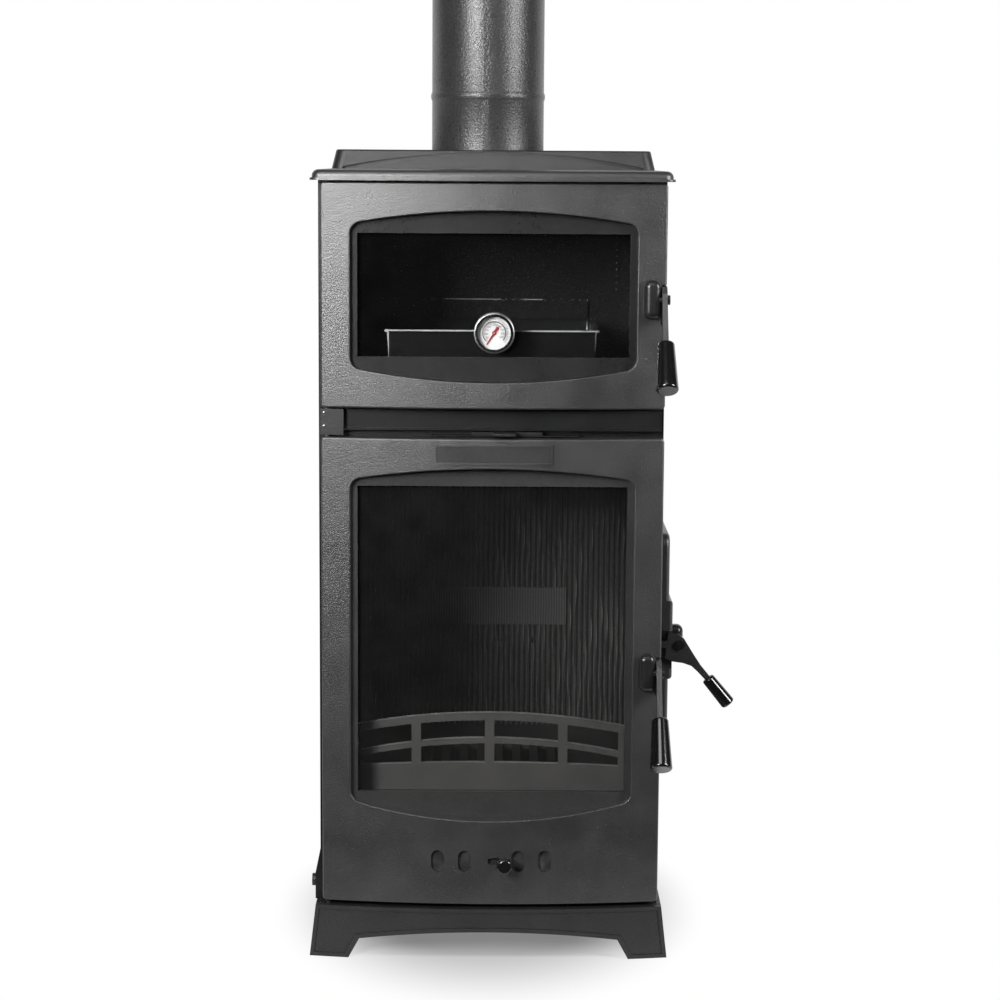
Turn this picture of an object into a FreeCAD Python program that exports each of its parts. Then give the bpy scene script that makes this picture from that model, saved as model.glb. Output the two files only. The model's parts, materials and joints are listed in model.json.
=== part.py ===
import FreeCAD, Part
import math
import os

# Upright wood-burning oven stove in cast iron. Millimetres, X to the right, Y to the back, Z up.
# The origin is on the floor, in the middle of the body's width and depth.

# Shared fits and cutting overrun
CLEAR = 0.3
RUN_CLEAR = 0.05
OVERRUN = 60.0

# Body casing
BODY_WIDTH = 432.0
BODY_DEPTH = 420.0
WALL = 8.0
BASE_HEIGHT = 68.0
BOTTOM_THICK = 10.0
TOP_HEIGHT = 1000.0
TOP_THICK = 13.0
FRAME_THICK = 10.0
FRAME_STILE = 30.0
FIRE_SILL = 28.0
FIRE_HEAD_LAP = 33.7
OVEN_SILL_LAP = 21.5
OVEN_HEAD_LAP = 27.0

# Bow of the doors, skirt and top plate: sagitta over half the body's width
BOW_SAG = 17.0

# Base skirts
SKIRT_THICK = 8.0
SKIRT_PROUD = 2.0
SKIRT_TOP_SPREAD = 5.0
SKIRT_FOOT_SPREAD = 13.0
FOOT_WIDTH = 50.0
FOOT_SPLAY = 14.0
ARCH_END_HEIGHT = 26.0
ARCH_RISE = 12.0
SIDE_FOOT_LENGTH = 55.0
BEAD_WIDTH = 5.0
BEAD_PROUD = 1.5

# Top plate, flue plinth and flue
TOP_OVERHANG = 9.0
TOP_FRONT_PROUD = 8.0
TOP_BACK_PROUD = 20.0
TOP_CORNER = 12.0
TOP_EDGE_ROUND = 8.0
LIP_PROUD = 2.5
LIP_THICK = 3.0
PLINTH_INSET = 4.0
PLINTH_DRAFT = 6.0
PLINTH_HEIGHT = 25.0
PLINTH_DEPTH = 239.0
PLINTH_BACK_INSET = 5.0
PLINTH_CORNER = 14.0
PLINTH_WALL = 7.0
PLINTH_EDGE_ROUND = 3.0
PANEL_INSET = 15.0
PANEL_BASE = 3.0
PANEL_TOP_MARGIN = 2.5
PANEL_GROOVE = 5.0
PANEL_SUNK = 4.0
FLUE_RADIUS = 75.0
FLUE_WALL = 2.0
FLUE_BACK_DISTANCE = 143.0
FLUE_OFFSET = -8.0
FLUE_LENGTH = 237.0
FLUE_BEAD_RISE = 71.0
FLUE_BEAD_HALF = 6.0
FLUE_BEAD_PROUD = 1.5
COLLAR_WALL = 4.0
COLLAR_HEIGHT = 42.0
COLLAR_FLANGE = 9.0
COLLAR_FLANGE_THICK = 5.0

# Doors in common
DOOR_LEFT_INSET = 4.0
DOOR_PLAY = 2.0
DOOR_GAP = 4.0
DOOR_EDGE = 14.0
DOOR_SHELL = 8.0
DOOR_BORDER = 14.0
DOOR_CORNER = 5.0
DOOR_EDGE_ROUND = 2.5
DOOR_STILE = 36.5
FIELD_DEPTH = 9.0
FIELD_EDGE_ROUND = 1.5
FIELD_CORNER = 15.0
FIELD_FLOOR = 5.0
FIELD_RIM = 10.0
WINDOW_MARGIN = 8.5
GLASS_THICK = 4.0
GLASS_LAP = 8.0
GLASS_SEAL = 1.0
GLASS_SEAL_WIDTH = 6.0
CLIP_WIDTH = 16.0
CLIP_FOOT = 7.0
CLIP_FINGER = 5.0
CLIP_THICK = 2.0
ROPE_WIDTH = 8.0
ROPE_OFFSET = 4.0
PIN_RADIUS = 3.0
PIN_INSET = 7.0
PIN_DEPTH = 18.0

# Oven door
OVEN_DOOR_HEIGHT = 278.5
OVEN_LOW_RAIL = 33.1
OVEN_LOW_SAG = 17.4
OVEN_HIGH_SAG = 16.5
OVEN_HIGH_RAIL = 34.5
OVEN_WINDOW_SILL = 12.6
OVEN_WINDOW_HEAD = 11.4
OVEN_CLIP_SPACING = 110.0

# Dial thermometer in the oven glass
DIAL_X = 3.0
DIAL_RISE = 30.4
DIAL_CASE_RADIUS = 25.4
DIAL_CASE_DEPTH = 12.0
DIAL_BEZEL = 2.0
DIAL_WINDOW_RADIUS = 20.5
DIAL_CAVITY_RADIUS = 23.0
DIAL_CAVITY_DEPTH = 7.0
DIAL_PLATE = 1.2
DIAL_LENS = 1.5
DIAL_SPINDLE_RADIUS = 0.8
DIAL_SPINDLE_LENGTH = 3.6
DIAL_STEM_RADIUS = 5.0
DIAL_NUT_RADIUS = 10.0
DIAL_NUT_THICK = 4.0
DIAL_PROBE_RADIUS = 3.0
DIAL_PROBE_LENGTH = 28.0
NEEDLE_THICK = 0.8
NEEDLE_LIFT = 1.0
NEEDLE_HUB_RADIUS = 2.6
NEEDLE_LENGTH = 17.5
NEEDLE_TIP_HALF = 0.4
NEEDLE_TAIL_HALF = 1.6
NEEDLE_TAIL = 8.5
NEEDLE_ANGLE = 33.0

# Firebox door
FIRE_DOOR_SKIRT_GAP = 5.0
FIRE_DOOR_PLAY = 2.3
FIRE_LOW_RAIL = 109.4
FIRE_LOW_SAG = 24.2
FIRE_HIGH_SAG = 15.0
FIRE_HIGH_RAIL = 37.7
FIRE_WINDOW_SILL = 9.4
FIRE_WINDOW_HEAD = 9.0
FIRE_CLIP_SPACING = 130.0
PLAQUE_CENTRE_X = 3.0
PLAQUE_WIDTH = 148.0
PLAQUE_HEIGHT = 25.2
PLAQUE_DROP = 6.9
PLAQUE_PROUD = 2.5
PLAQUE_BORDER = 2.5
PLAQUE_SUNK = 1.2

# Primary air control in the firebox door
AIR_CENTRE_X = 3.0
AIR_RISE = 57.0
AIR_PITCH = 34.0
AIR_SLOT_WIDTH = 16.5
AIR_SLOT_HEIGHT = 28.0
AIR_TRAVEL = 17.0
AIR_SEAT_DEPTH = 7.0
AIR_PLATE_END = 4.0
AIR_PLATE_HEIGHT = 44.0
AIR_PLATE_THICK = 2.5
AIR_GUIDE_LIP = 3.0
AIR_GUIDE_WALL = 3.0
AIR_STUD_RADIUS = 4.0
AIR_STUD_PLAY = 0.5
AIR_STUD_REACH = 7.0
KNOB_RADIUS = 10.0
KNOB_LENGTH = 20.0
KNOB_NECK_RADIUS = 6.0
KNOB_NECK = 6.0
KNOB_FLUTES = 10
KNOB_FLUTE_RADIUS = 1.6
KNOB_ROUND = 3.5

# Middle band, its hinge block and the air-wash slide under it
BAND_HEIGHT = 26.0
BAND_PROUD = 8.0
BAND_LEDGE = 16.0
BAND_LEDGE_THICK = 1.6
BLOCK_SETBACK = 5.0
BLOCK_OUTSET = 1.0
BLOCK_WIDTH = 29.0
BLOCK_DROP = 6.5
BAND_INSET = 3.0
WASH_LEFT = -75.0
WASH_RIGHT = 110.0
WASH_DROP = 7.3
WASH_LIP = 1.4
WASH_DEPTH = 18.0
WASH_BACK = 3.0
WASH_BAR_LEFT = -24.0
WASH_BAR_RIGHT = 64.0
WASH_BAR_THICK = 4.0
WASH_TAB_LEFT = 4.0
WASH_TAB_RIGHT = 31.0
WASH_TAB_REACH = 20.0
WASH_TAB_ROUND = 1.5

# Lever handles: the plate's outline follows its reach (outwards) and its drop (downwards)
LEVER_THICK = 6.5
LEVER_PLAY = 0.5
LEVER_STANDOFF = 10.0
LEVER_BORE_RADIUS = 3.5
LEVER_TONGUE = 27.0
LEVER_TONGUE_HALF = 4.5
LEVER_TOP_SHARES = (
    (-0.42, 0.33), (-0.05, 0.30), (0.15, 0.16), (0.47, -0.27), (0.75, -0.62), (1.075, -0.947),
)
LEVER_LOW_SHARES = (
    (0.916, -1.044), (0.625, -0.79), (0.41, -0.63), (0.11, -0.547), (-0.29, -0.50), (-0.53, -0.40),
)
LEVER_TANG_RADIUS = 3.0
LEVER_TANG = 20.0
LEVER_HEAD_RADIUS = 6.0
LEVER_HEAD = 3.0
FRONT_LEVER_REACH = 36.0
FRONT_LEVER_DROP = 51.0
FRONT_GRIP_LENGTH = 67.0
FRONT_GRIP_ROOT = 10.5
FRONT_GRIP_END = 14.0
SIDE_LEVER_REACH = 37.0
SIDE_LEVER_DROP = 45.0
SIDE_GRIP_LENGTH = 45.0
SIDE_GRIP_ROOT = 8.5
SIDE_GRIP_END = 9.5
GRIP_ROUND = 3.0
BOSS_WIDTH = 22.0
BOSS_HALF_HEIGHT = 24.0
BOSS_PLATE = 4.0
BOSS_ROUND = 9.0
BOSS_CROWN = 4.5
BOSS_RIM_FLAT = 0.5
NOTCH_LOW = 32.0
NOTCH_HIGH = 18.0
KEEPER_LOW = 6.0
KEEPER_HIGH = 14.0
KEEPER_REACH = 5.5
KEEPER_WIDTH = 5.0
OVEN_HANDLE_RISE = 136.5
FIRE_HANDLE_RISE = 301.0
SIDE_HANDLE_OFFSET = 11.5

# Side loading door in the right wall
SIDE_DOOR_SETBACK = 105.0
SIDE_DOOR_WIDTH = 230.0
SIDE_DOOR_SILL = 9.0
SIDE_DOOR_HEAD = 120.0
SIDE_DOOR_THICK = 14.0
SIDE_DOOR_CORNER = 16.0
SIDE_DOOR_ROUND = 5.0
SIDE_PAD_DROP = 46.0
SIDE_PAD_HEIGHT = 104.0
SIDE_PAD_PROUD = 5.0
SIDE_OPEN_BORDER = 24.0
SIDE_PIN_SETOFF = 8.0
SIDE_BRACKET_HEIGHT = 14.0
SIDE_BRACKET_LENGTH = 20.0
SIDE_BRACKET_PLAY = 1.0

# Lower hinge lug and the bolts
LUG_HEIGHT = 69.0
LUG_SHOULDER_HEIGHT = 34.0
LUG_PROUD = 7.0
LUG_FRONT_SETBACK = 5.0
LUG_LENGTH = 30.0
BOLT_HEAD_RADIUS = 8.0
BOLT_HEAD = 5.0
LUG_BOLT_RISE = 21.0
BACK_BOLT_INSET = 24.0
BACK_BOLT_ROWS = 3

# Oven box, its heat shield and roasting tray
OVEN_PLATE = 5.0
OVEN_DEPTH = 300.0
SHIELD_HALF = 130.0
SHIELD_HEIGHT = 96.0
SHIELD_THICK = 6.0
TRAY_SIDE_ROOM = 55.0
TRAY_HEIGHT = 72.5
TRAY_SETBACK = 34.0
TRAY_BACK_ROOM = 45.0
TRAY_WALL = 2.0
TRAY_RIM = 8.0

# Firebox lining, hearth, grate, log guard and ash drawer
LINER_THICK = 8.0
HEARTH_RISE = 138.0
HEARTH_THICK = 10.0
BAFFLE_DROP = 73.0
BAFFLE_THICK = 8.0
BAFFLE_FRONT_GAP = 60.0
BACK_LINER_THICK = 10.0
RIB_PITCH = 7.5
RIB_HEIGHT = 3.0
BACK_PANEL_HALF = 107.0
BACK_PANEL_RISE = 147.0
BACK_PANEL_HEIGHT = 54.0
BACK_PANEL_PROUD = 1.5
BACK_HOLE_RADIUS = 4.0
BACK_HOLE_PITCH = 39.0
BACK_HOLE_DROP = 23.0
BACK_HOLE_COUNT = 4
GRATE_WIDTH = 248.0
GRATE_SETBACK = 80.0
GRATE_LENGTH = 220.0
GRATE_THICK = 8.0
GRATE_LEDGE = 8.0
GRATE_BAR = 11.0
GRATE_SLOTS = 9
GRATE_BORDER = 16.0
GUARD_SIDE_ROOM = 8.0
GUARD_SETBACK = 32.0
GUARD_THICK = 8.0
GUARD_SAG = 17.5
GUARD_MID_SAG = 20.0
GUARD_PLATE_SAG = 5.0
GUARD_HEIGHT = 102.0
GUARD_RAIL_PITCH = 33.0
GUARD_PLATE_HEIGHT = 36.5
GUARD_RAIL = 10.0
GUARD_MID_RAIL = 7.5
GUARD_POST = 12.0
GUARD_POST_PITCH = 94.5
ASH_WALL_ROOM = 2.0
ASH_WALL_THICK = 6.0
ASH_SIDE_ROOM = 16.0
ASH_HEIGHT = 102.0
ASH_SETBACK = 16.0
ASH_LENGTH = 310.0
ASH_WALL = 3.0

V = FreeCAD.Vector
FRONT = -BODY_DEPTH / 2
BACK = BODY_DEPTH / 2
HALF = BODY_WIDTH / 2
BOW_RADIUS = (HALF**2 + BOW_SAG**2) / (2 * BOW_SAG)

# Places across the width
FRAME_OPEN_HALF = HALF - FRAME_STILE
SKIRT_TOP_HALF = HALF + SKIRT_TOP_SPREAD
SKIRT_FOOT_HALF = HALF + SKIRT_FOOT_SPREAD
FOOT_INNER_HALF = SKIRT_FOOT_HALF - FOOT_WIDTH
ARCH_END_HALF = FOOT_INNER_HALF - FOOT_SPLAY
TOP_HALF = HALF + TOP_OVERHANG
PLINTH_HALF = HALF - PLINTH_INSET
PANEL_HALF = PLINTH_HALF - PANEL_INSET
DOOR_LEFT = DOOR_LEFT_INSET - HALF
DOOR_RIGHT = HALF
DOOR_MID = (DOOR_LEFT + DOOR_RIGHT) / 2
FIELD_HALF = (DOOR_RIGHT - DOOR_LEFT) / 2 - DOOR_STILE
WINDOW_HALF = FIELD_HALF - WINDOW_MARGIN
PLAQUE_LEFT = PLAQUE_CENTRE_X - PLAQUE_WIDTH / 2
PLAQUE_RIGHT = PLAQUE_CENTRE_X + PLAQUE_WIDTH / 2
BLOCK_LEFT = DOOR_LEFT - BLOCK_OUTSET
BLOCK_RIGHT = BLOCK_LEFT + BLOCK_WIDTH
BAND_END = HALF - BAND_INSET
PIN_X = DOOR_LEFT + PIN_INSET
LEVER_X = DOOR_RIGHT - LEVER_THICK
TRAY_HALF = FRAME_OPEN_HALF - TRAY_SIDE_ROOM
GRATE_HALF = GRATE_WIDTH / 2
GUARD_HALF = FRAME_OPEN_HALF - GUARD_SIDE_ROOM
ASH_WALL_X = FRAME_OPEN_HALF + ASH_WALL_ROOM
ASH_HALF = ASH_WALL_X - ASH_SIDE_ROOM

# Places along the depth
DOOR_BACK = FRONT - DOOR_GAP
DOOR_CROWN = DOOR_BACK - DOOR_EDGE - BOW_SAG
PIN_Y = DOOR_BACK - DOOR_EDGE / 2
SKIRT_CROWN = DOOR_CROWN - SKIRT_PROUD
PLINTH_BACK = BACK - PLINTH_BACK_INSET
PLINTH_FRONT = PLINTH_BACK - PLINTH_DEPTH
FLUE_CENTRE_Y = BACK - FLUE_BACK_DISTANCE
SIDE_DOOR_FRONT = FRONT + SIDE_DOOR_SETBACK
SIDE_DOOR_BACK = SIDE_DOOR_FRONT + SIDE_DOOR_WIDTH
GRATE_FRONT = FRONT + GRATE_SETBACK
GRATE_BACK = GRATE_FRONT + GRATE_LENGTH

# Heights of the upper storey, from the top down
TOP_UNDER = TOP_HEIGHT - TOP_THICK
PLINTH_TOP = TOP_HEIGHT + PLINTH_HEIGHT
PANEL_CROWN = PLINTH_HEIGHT - PANEL_TOP_MARGIN
FLUE_TOP = PLINTH_TOP + FLUE_LENGTH
FLUE_BEAD_Z = PLINTH_TOP + FLUE_BEAD_RISE
OVEN_DOOR_HIGH = TOP_UNDER - DOOR_PLAY
OVEN_DOOR_LOW = OVEN_DOOR_HIGH - OVEN_DOOR_HEIGHT
OVEN_OPEN_LOW = OVEN_DOOR_LOW + OVEN_SILL_LAP
OVEN_OPEN_HIGH = OVEN_DOOR_HIGH - OVEN_HEAD_LAP
OVEN_FIELD_LOW_CROWN = OVEN_DOOR_LOW + OVEN_LOW_RAIL
OVEN_FIELD_LOW_SPRING = OVEN_FIELD_LOW_CROWN + OVEN_LOW_SAG
OVEN_FIELD_HIGH_CROWN = OVEN_DOOR_HIGH - OVEN_HIGH_RAIL
OVEN_FIELD_HIGH_SPRING = OVEN_FIELD_HIGH_CROWN - OVEN_HIGH_SAG
OVEN_WINDOW_LOW = OVEN_FIELD_LOW_SPRING + OVEN_WINDOW_SILL
OVEN_WINDOW_HIGH = OVEN_FIELD_HIGH_SPRING - OVEN_WINDOW_HEAD
OVEN_HANDLE_Z = OVEN_DOOR_LOW + OVEN_HANDLE_RISE
DIAL_Z = OVEN_WINDOW_LOW + DIAL_RISE
BAND_HIGH = OVEN_DOOR_LOW - DOOR_PLAY
BAND_LOW = BAND_HIGH - BAND_HEIGHT
BLOCK_LOW = BAND_LOW - BLOCK_DROP
WASH_LOW = BAND_LOW - WASH_DROP
BAFFLE_LOW = OVEN_OPEN_LOW - OVEN_PLATE - BAFFLE_DROP

# Heights of the lower storey, from the base up to the band
ARCH_CROWN_HEIGHT = ARCH_END_HEIGHT + ARCH_RISE
HEARTH_TOP = BASE_HEIGHT + HEARTH_RISE
FIRE_DOOR_LOW = BASE_HEIGHT + FIRE_DOOR_SKIRT_GAP
FIRE_DOOR_HIGH = BLOCK_LOW - FIRE_DOOR_PLAY
FIRE_OPEN_LOW = BASE_HEIGHT + FIRE_SILL
FIRE_OPEN_HIGH = FIRE_DOOR_HIGH - FIRE_HEAD_LAP
FIRE_FIELD_LOW_CROWN = FIRE_DOOR_LOW + FIRE_LOW_RAIL
FIRE_FIELD_LOW_SPRING = FIRE_FIELD_LOW_CROWN + FIRE_LOW_SAG
FIRE_FIELD_HIGH_CROWN = FIRE_DOOR_HIGH - FIRE_HIGH_RAIL
FIRE_FIELD_HIGH_SPRING = FIRE_FIELD_HIGH_CROWN - FIRE_HIGH_SAG
FIRE_WINDOW_LOW = FIRE_FIELD_LOW_SPRING + FIRE_WINDOW_SILL
FIRE_WINDOW_HIGH = FIRE_FIELD_HIGH_SPRING - FIRE_WINDOW_HEAD
PLAQUE_HIGH = FIRE_DOOR_HIGH - PLAQUE_DROP
PLAQUE_LOW = PLAQUE_HIGH - PLAQUE_HEIGHT
AIR_Z = FIRE_DOOR_LOW + AIR_RISE
FIRE_HANDLE_Z = FIRE_DOOR_LOW + FIRE_HANDLE_RISE
SIDE_DOOR_LOW = HEARTH_TOP + SIDE_DOOR_SILL
SIDE_DOOR_HIGH = BAFFLE_LOW - SIDE_DOOR_HEAD
SIDE_HANDLE_Z = (SIDE_DOOR_LOW + SIDE_DOOR_HIGH) / 2 + SIDE_HANDLE_OFFSET
SIDE_PAD_LOW = SIDE_HANDLE_Z - SIDE_PAD_DROP
SIDE_PAD_HIGH = SIDE_PAD_LOW + SIDE_PAD_HEIGHT
LUG_HIGH = BASE_HEIGHT + LUG_HEIGHT
LUG_SHOULDER = BASE_HEIGHT + LUG_SHOULDER_HEIGHT
LUG_BOLT_Z = BASE_HEIGHT + LUG_BOLT_RISE
BACK_PANEL_LOW = HEARTH_TOP + BACK_PANEL_RISE
BACK_PANEL_HIGH = BACK_PANEL_LOW + BACK_PANEL_HEIGHT
BACK_HOLE_Z = BACK_PANEL_LOW - BACK_HOLE_DROP
GUARD_TOP = HEARTH_TOP + GUARD_HEIGHT
GUARD_MID = GUARD_TOP - GUARD_RAIL_PITCH
GUARD_PLATE = HEARTH_TOP + GUARD_PLATE_HEIGHT


def save(name, *solids):
    shape = solids[0] if len(solids) == 1 else Part.makeCompound(list(solids))
    shape.exportStep("parts/" + name + ".step")


def box(x0, x1, y0, y1, z0, z1):
    return Part.makeBox(x1 - x0, y1 - y0, z1 - z0, V(x0, y0, z0))


def rod(radius, start, end):
    along = end - start
    return Part.makeCylinder(radius, along.Length, start, along)


def polygon(points):
    return Part.Face(Part.makePolygon(list(points) + [points[0]]))


def line(a, b):
    return Part.LineSegment(a, b).toShape()


def arc(a, b, c):
    return Part.Arc(a, b, c).toShape()


def bow_y(x, crown):
    """Depth of the bowed surface whose foremost line is at crown."""
    return crown + BOW_RADIUS - math.sqrt(BOW_RADIUS**2 - x**2)


def bow_arc(x0, x1, crown, z):
    ends = [V(x, bow_y(x, crown), z) for x in (x0, (x0 + x1) / 2, x1)]
    return arc(*ends)


def bowed_block(x0, x1, crown, y_back, z0, z1):
    """Block with a bowed front and a flat back."""
    front = bow_arc(x0, x1, crown, z0)
    right = line(V(x1, bow_y(x1, crown), z0), V(x1, y_back, z0))
    back = line(V(x1, y_back, z0), V(x0, y_back, z0))
    left = line(V(x0, y_back, z0), V(x0, bow_y(x0, crown), z0))
    return Part.Face(Part.Wire([front, right, back, left])).extrude(V(0, 0, z1 - z0))


def bowed_plate(x0, x1, crown, thick, z0, z1):
    """Plate of one thickness that follows the bow."""
    front = bow_arc(x0, x1, crown, z0)
    back = bow_arc(x1, x0, crown + thick, z0)
    right = line(V(x1, bow_y(x1, crown), z0), V(x1, bow_y(x1, crown + thick), z0))
    left = line(V(x0, bow_y(x0, crown + thick), z0), V(x0, bow_y(x0, crown), z0))
    return Part.Face(Part.Wire([front, right, back, left])).extrude(V(0, 0, z1 - z0))


def rounded_rectangle(x0, x1, y0, y1, z, radius):
    """Level wire of a rectangle with round corners."""
    inset = radius * (1 - math.sqrt(0.5))
    corners = (
        (V(x1 - radius, y0, z), V(x1 - inset, y0 + inset, z), V(x1, y0 + radius, z)),
        (V(x1, y1 - radius, z), V(x1 - inset, y1 - inset, z), V(x1 - radius, y1, z)),
        (V(x0 + radius, y1, z), V(x0 + inset, y1 - inset, z), V(x0, y1 - radius, z)),
        (V(x0, y0 + radius, z), V(x0 + inset, y0 + inset, z), V(x0 + radius, y0, z)),
    )
    edges = []
    for here, after in zip(corners, corners[1:] + corners[:1]):
        edges.append(arc(*here))
        edges.append(line(here[2], after[0]))
    return Part.Wire(edges)


def field_corner(half, spring, crown, radius):
    """Side tangent, middle and crown tangent points of a round corner under a segment arch."""
    sag = crown - spring
    big = (half**2 + sag**2) / (2 * abs(sag)) * math.copysign(1, sag)
    centre = crown - big
    rise = math.copysign(math.sqrt((abs(big) - radius) ** 2 - (half - radius) ** 2), sag)
    grow = abs(big) / (abs(big) - radius)
    side = (half, centre + rise)
    top = (grow * (half - radius), centre + grow * rise)
    aim_x = (side[0] + top[0]) / 2 - (half - radius)
    aim_z = (side[1] + top[1]) / 2 - (centre + rise)
    reach = radius / math.hypot(aim_x, aim_z)
    middle = (half - radius + aim_x * reach, centre + rise + aim_z * reach)
    return side, middle, top


def field_wire(half, low_spring, low_crown, high_spring, high_crown, radius, y):
    """Upright outline with straight sides, segment arches above and below, and round corners."""
    high = field_corner(half, high_spring, high_crown, radius)
    low = field_corner(half, low_spring, low_crown, radius)

    def at(point, side):
        return V(DOOR_MID + side * point[0], y, point[1])

    edges = [
        line(at(low[0], 1), at(high[0], 1)),
        arc(at(high[0], 1), at(high[1], 1), at(high[2], 1)),
        arc(at(high[2], 1), V(DOOR_MID, y, high_crown), at(high[2], -1)),
        arc(at(high[2], -1), at(high[1], -1), at(high[0], -1)),
        line(at(high[0], -1), at(low[0], -1)),
        arc(at(low[0], -1), at(low[1], -1), at(low[2], -1)),
        arc(at(low[2], -1), V(DOOR_MID, y, low_crown), at(low[2], 1)),
        arc(at(low[2], 1), at(low[1], 1), at(low[0], 1)),
    ]
    return Part.Wire(edges)


# Base and bottom plate
def front_skirt_outline(inset):
    """Front view of the skirt: two feet and an arch between them, drawn in by inset."""
    lean = (SKIRT_FOOT_HALF - SKIRT_TOP_HALF) / BASE_HEIGHT
    low = inset
    high = BASE_HEIGHT - inset
    foot = FOOT_INNER_HALF + inset
    spring = ARCH_END_HALF + inset
    outer_low = SKIRT_FOOT_HALF - inset - lean * low
    outer_high = SKIRT_FOOT_HALF - inset - lean * high
    y = SKIRT_CROWN - OVERRUN
    arch_end = ARCH_END_HEIGHT + inset
    edges = [
        line(V(-outer_low, y, low), V(-outer_high, y, high)),
        line(V(-outer_high, y, high), V(outer_high, y, high)),
        line(V(outer_high, y, high), V(outer_low, y, low)),
        line(V(outer_low, y, low), V(foot, y, low)),
        line(V(foot, y, low), V(spring, y, arch_end)),
        arc(V(spring, y, arch_end), V(0, y, ARCH_CROWN_HEIGHT + inset), V(-spring, y, arch_end)),
        line(V(-spring, y, arch_end), V(-foot, y, low)),
        line(V(-foot, y, low), V(-outer_low, y, low)),
    ]
    return Part.Face(Part.Wire(edges)).extrude(V(0, OVERRUN + OVERRUN, 0))


def base_front_skirt():
    whole = front_skirt_outline(0)
    plate = bowed_plate(-SKIRT_FOOT_HALF, SKIRT_FOOT_HALF, SKIRT_CROWN, SKIRT_THICK, 0, BASE_HEIGHT)
    bead_plate = bowed_plate(-SKIRT_FOOT_HALF, SKIRT_FOOT_HALF, SKIRT_CROWN - BEAD_PROUD,
                             SKIRT_THICK / 2, 0, BASE_HEIGHT)
    bead = bead_plate.common(whole).cut(front_skirt_outline(BEAD_WIDTH))
    return plate.common(whole).fuse(bead).removeSplitter()


SKIRT_SIDE_FRONT = bow_y(SKIRT_FOOT_HALF, SKIRT_CROWN + SKIRT_THICK) + CLEAR


def base_side_skirt(side):
    top = SKIRT_TOP_HALF - SKIRT_THICK
    foot = SKIRT_FOOT_HALF - SKIRT_THICK
    points = ((top, BASE_HEIGHT), (SKIRT_TOP_HALF, BASE_HEIGHT), (SKIRT_FOOT_HALF, 0), (foot, 0))
    section = polygon([V(side * x, SKIRT_SIDE_FRONT, z) for x, z in points])
    skirt = section.extrude(V(0, BACK - SKIRT_SIDE_FRONT, 0))
    y0 = SKIRT_SIDE_FRONT + SIDE_FOOT_LENGTH
    y1 = BACK - SIDE_FOOT_LENGTH
    reach = side * SKIRT_FOOT_HALF
    slope = FOOT_INNER_HALF - ARCH_END_HALF
    edges = [
        line(V(0, y0, 0), V(0, y0 + slope, ARCH_END_HEIGHT)),
        arc(V(0, y0 + slope, ARCH_END_HEIGHT), V(0, (y0 + y1) / 2, ARCH_CROWN_HEIGHT),
            V(0, y1 - slope, ARCH_END_HEIGHT)),
        line(V(0, y1 - slope, ARCH_END_HEIGHT), V(0, y1, 0)),
        line(V(0, y1, 0), V(0, y0, 0)),
    ]
    return skirt.cut(Part.Face(Part.Wire(edges)).extrude(V(2 * reach, 0, 0)))


def base_rear_skirt():
    top = SKIRT_TOP_HALF - SKIRT_THICK - CLEAR
    skirt = box(-top, top, BACK - SKIRT_THICK, BACK, 0, BASE_HEIGHT)
    opening = box(-ARCH_END_HALF, ARCH_END_HALF, BACK - OVERRUN, BACK + OVERRUN, -OVERRUN,
                  ARCH_CROWN_HEIGHT)
    return skirt.cut(opening)


def bottom_plate():
    half = SKIRT_TOP_HALF - SKIRT_THICK - CLEAR
    crown = SKIRT_CROWN + SKIRT_THICK + CLEAR
    return bowed_block(-half, half, crown, BACK - SKIRT_THICK, BASE_HEIGHT - BOTTOM_THICK, BASE_HEIGHT)


# Casing walls
def front_frame():
    frame = box(-HALF, HALF, FRONT, FRONT + FRAME_THICK, BASE_HEIGHT, TOP_UNDER)
    for low, high in ((FIRE_OPEN_LOW, FIRE_OPEN_HIGH), (OVEN_OPEN_LOW, OVEN_OPEN_HIGH)):
        hole = box(-FRAME_OPEN_HALF, FRAME_OPEN_HALF, FRONT - OVERRUN, FRONT + OVERRUN, low, high)
        frame = frame.cut(hole)
    return frame


SIDE_OPEN_FRONT = SIDE_DOOR_FRONT + SIDE_OPEN_BORDER
SIDE_OPEN_BACK = SIDE_DOOR_BACK - SIDE_OPEN_BORDER
SIDE_OPEN_LOW = SIDE_DOOR_LOW + SIDE_OPEN_BORDER
SIDE_OPEN_HIGH = SIDE_DOOR_HIGH - SIDE_OPEN_BORDER


def side_opening():
    return box(HALF - OVERRUN, HALF + OVERRUN, SIDE_OPEN_FRONT, SIDE_OPEN_BACK, SIDE_OPEN_LOW,
               SIDE_OPEN_HIGH)


def side_wall(side):
    x0, x1 = sorted((side * (HALF - WALL), side * HALF))
    return box(x0, x1, FRONT + FRAME_THICK, BACK - WALL, BASE_HEIGHT, TOP_UNDER)


def back_wall():
    return box(-HALF, HALF, BACK - WALL, BACK, BASE_HEIGHT, TOP_UNDER)


def middle_band():
    """Flat strip set back under the oven door, a ledge along its foot and the slide's seat below."""
    start = BLOCK_RIGHT + CLEAR
    band = box(start, BAND_END, FRONT - BAND_PROUD, FRONT, BAND_LOW, BAND_HIGH)
    ledge = box(start, BAND_END, FRONT - BAND_LEDGE, FRONT, BAND_LOW, BAND_LOW + BAND_LEDGE_THICK)
    lip = box(WASH_LEFT, WASH_RIGHT, FRONT - WASH_DEPTH, FRONT, WASH_LOW, WASH_LOW + WASH_LIP)
    back = box(WASH_LEFT, WASH_RIGHT, FRONT - WASH_BACK, FRONT, WASH_LOW, BAND_LOW)
    return band.fuse([ledge, lip, back]).removeSplitter()


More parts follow.
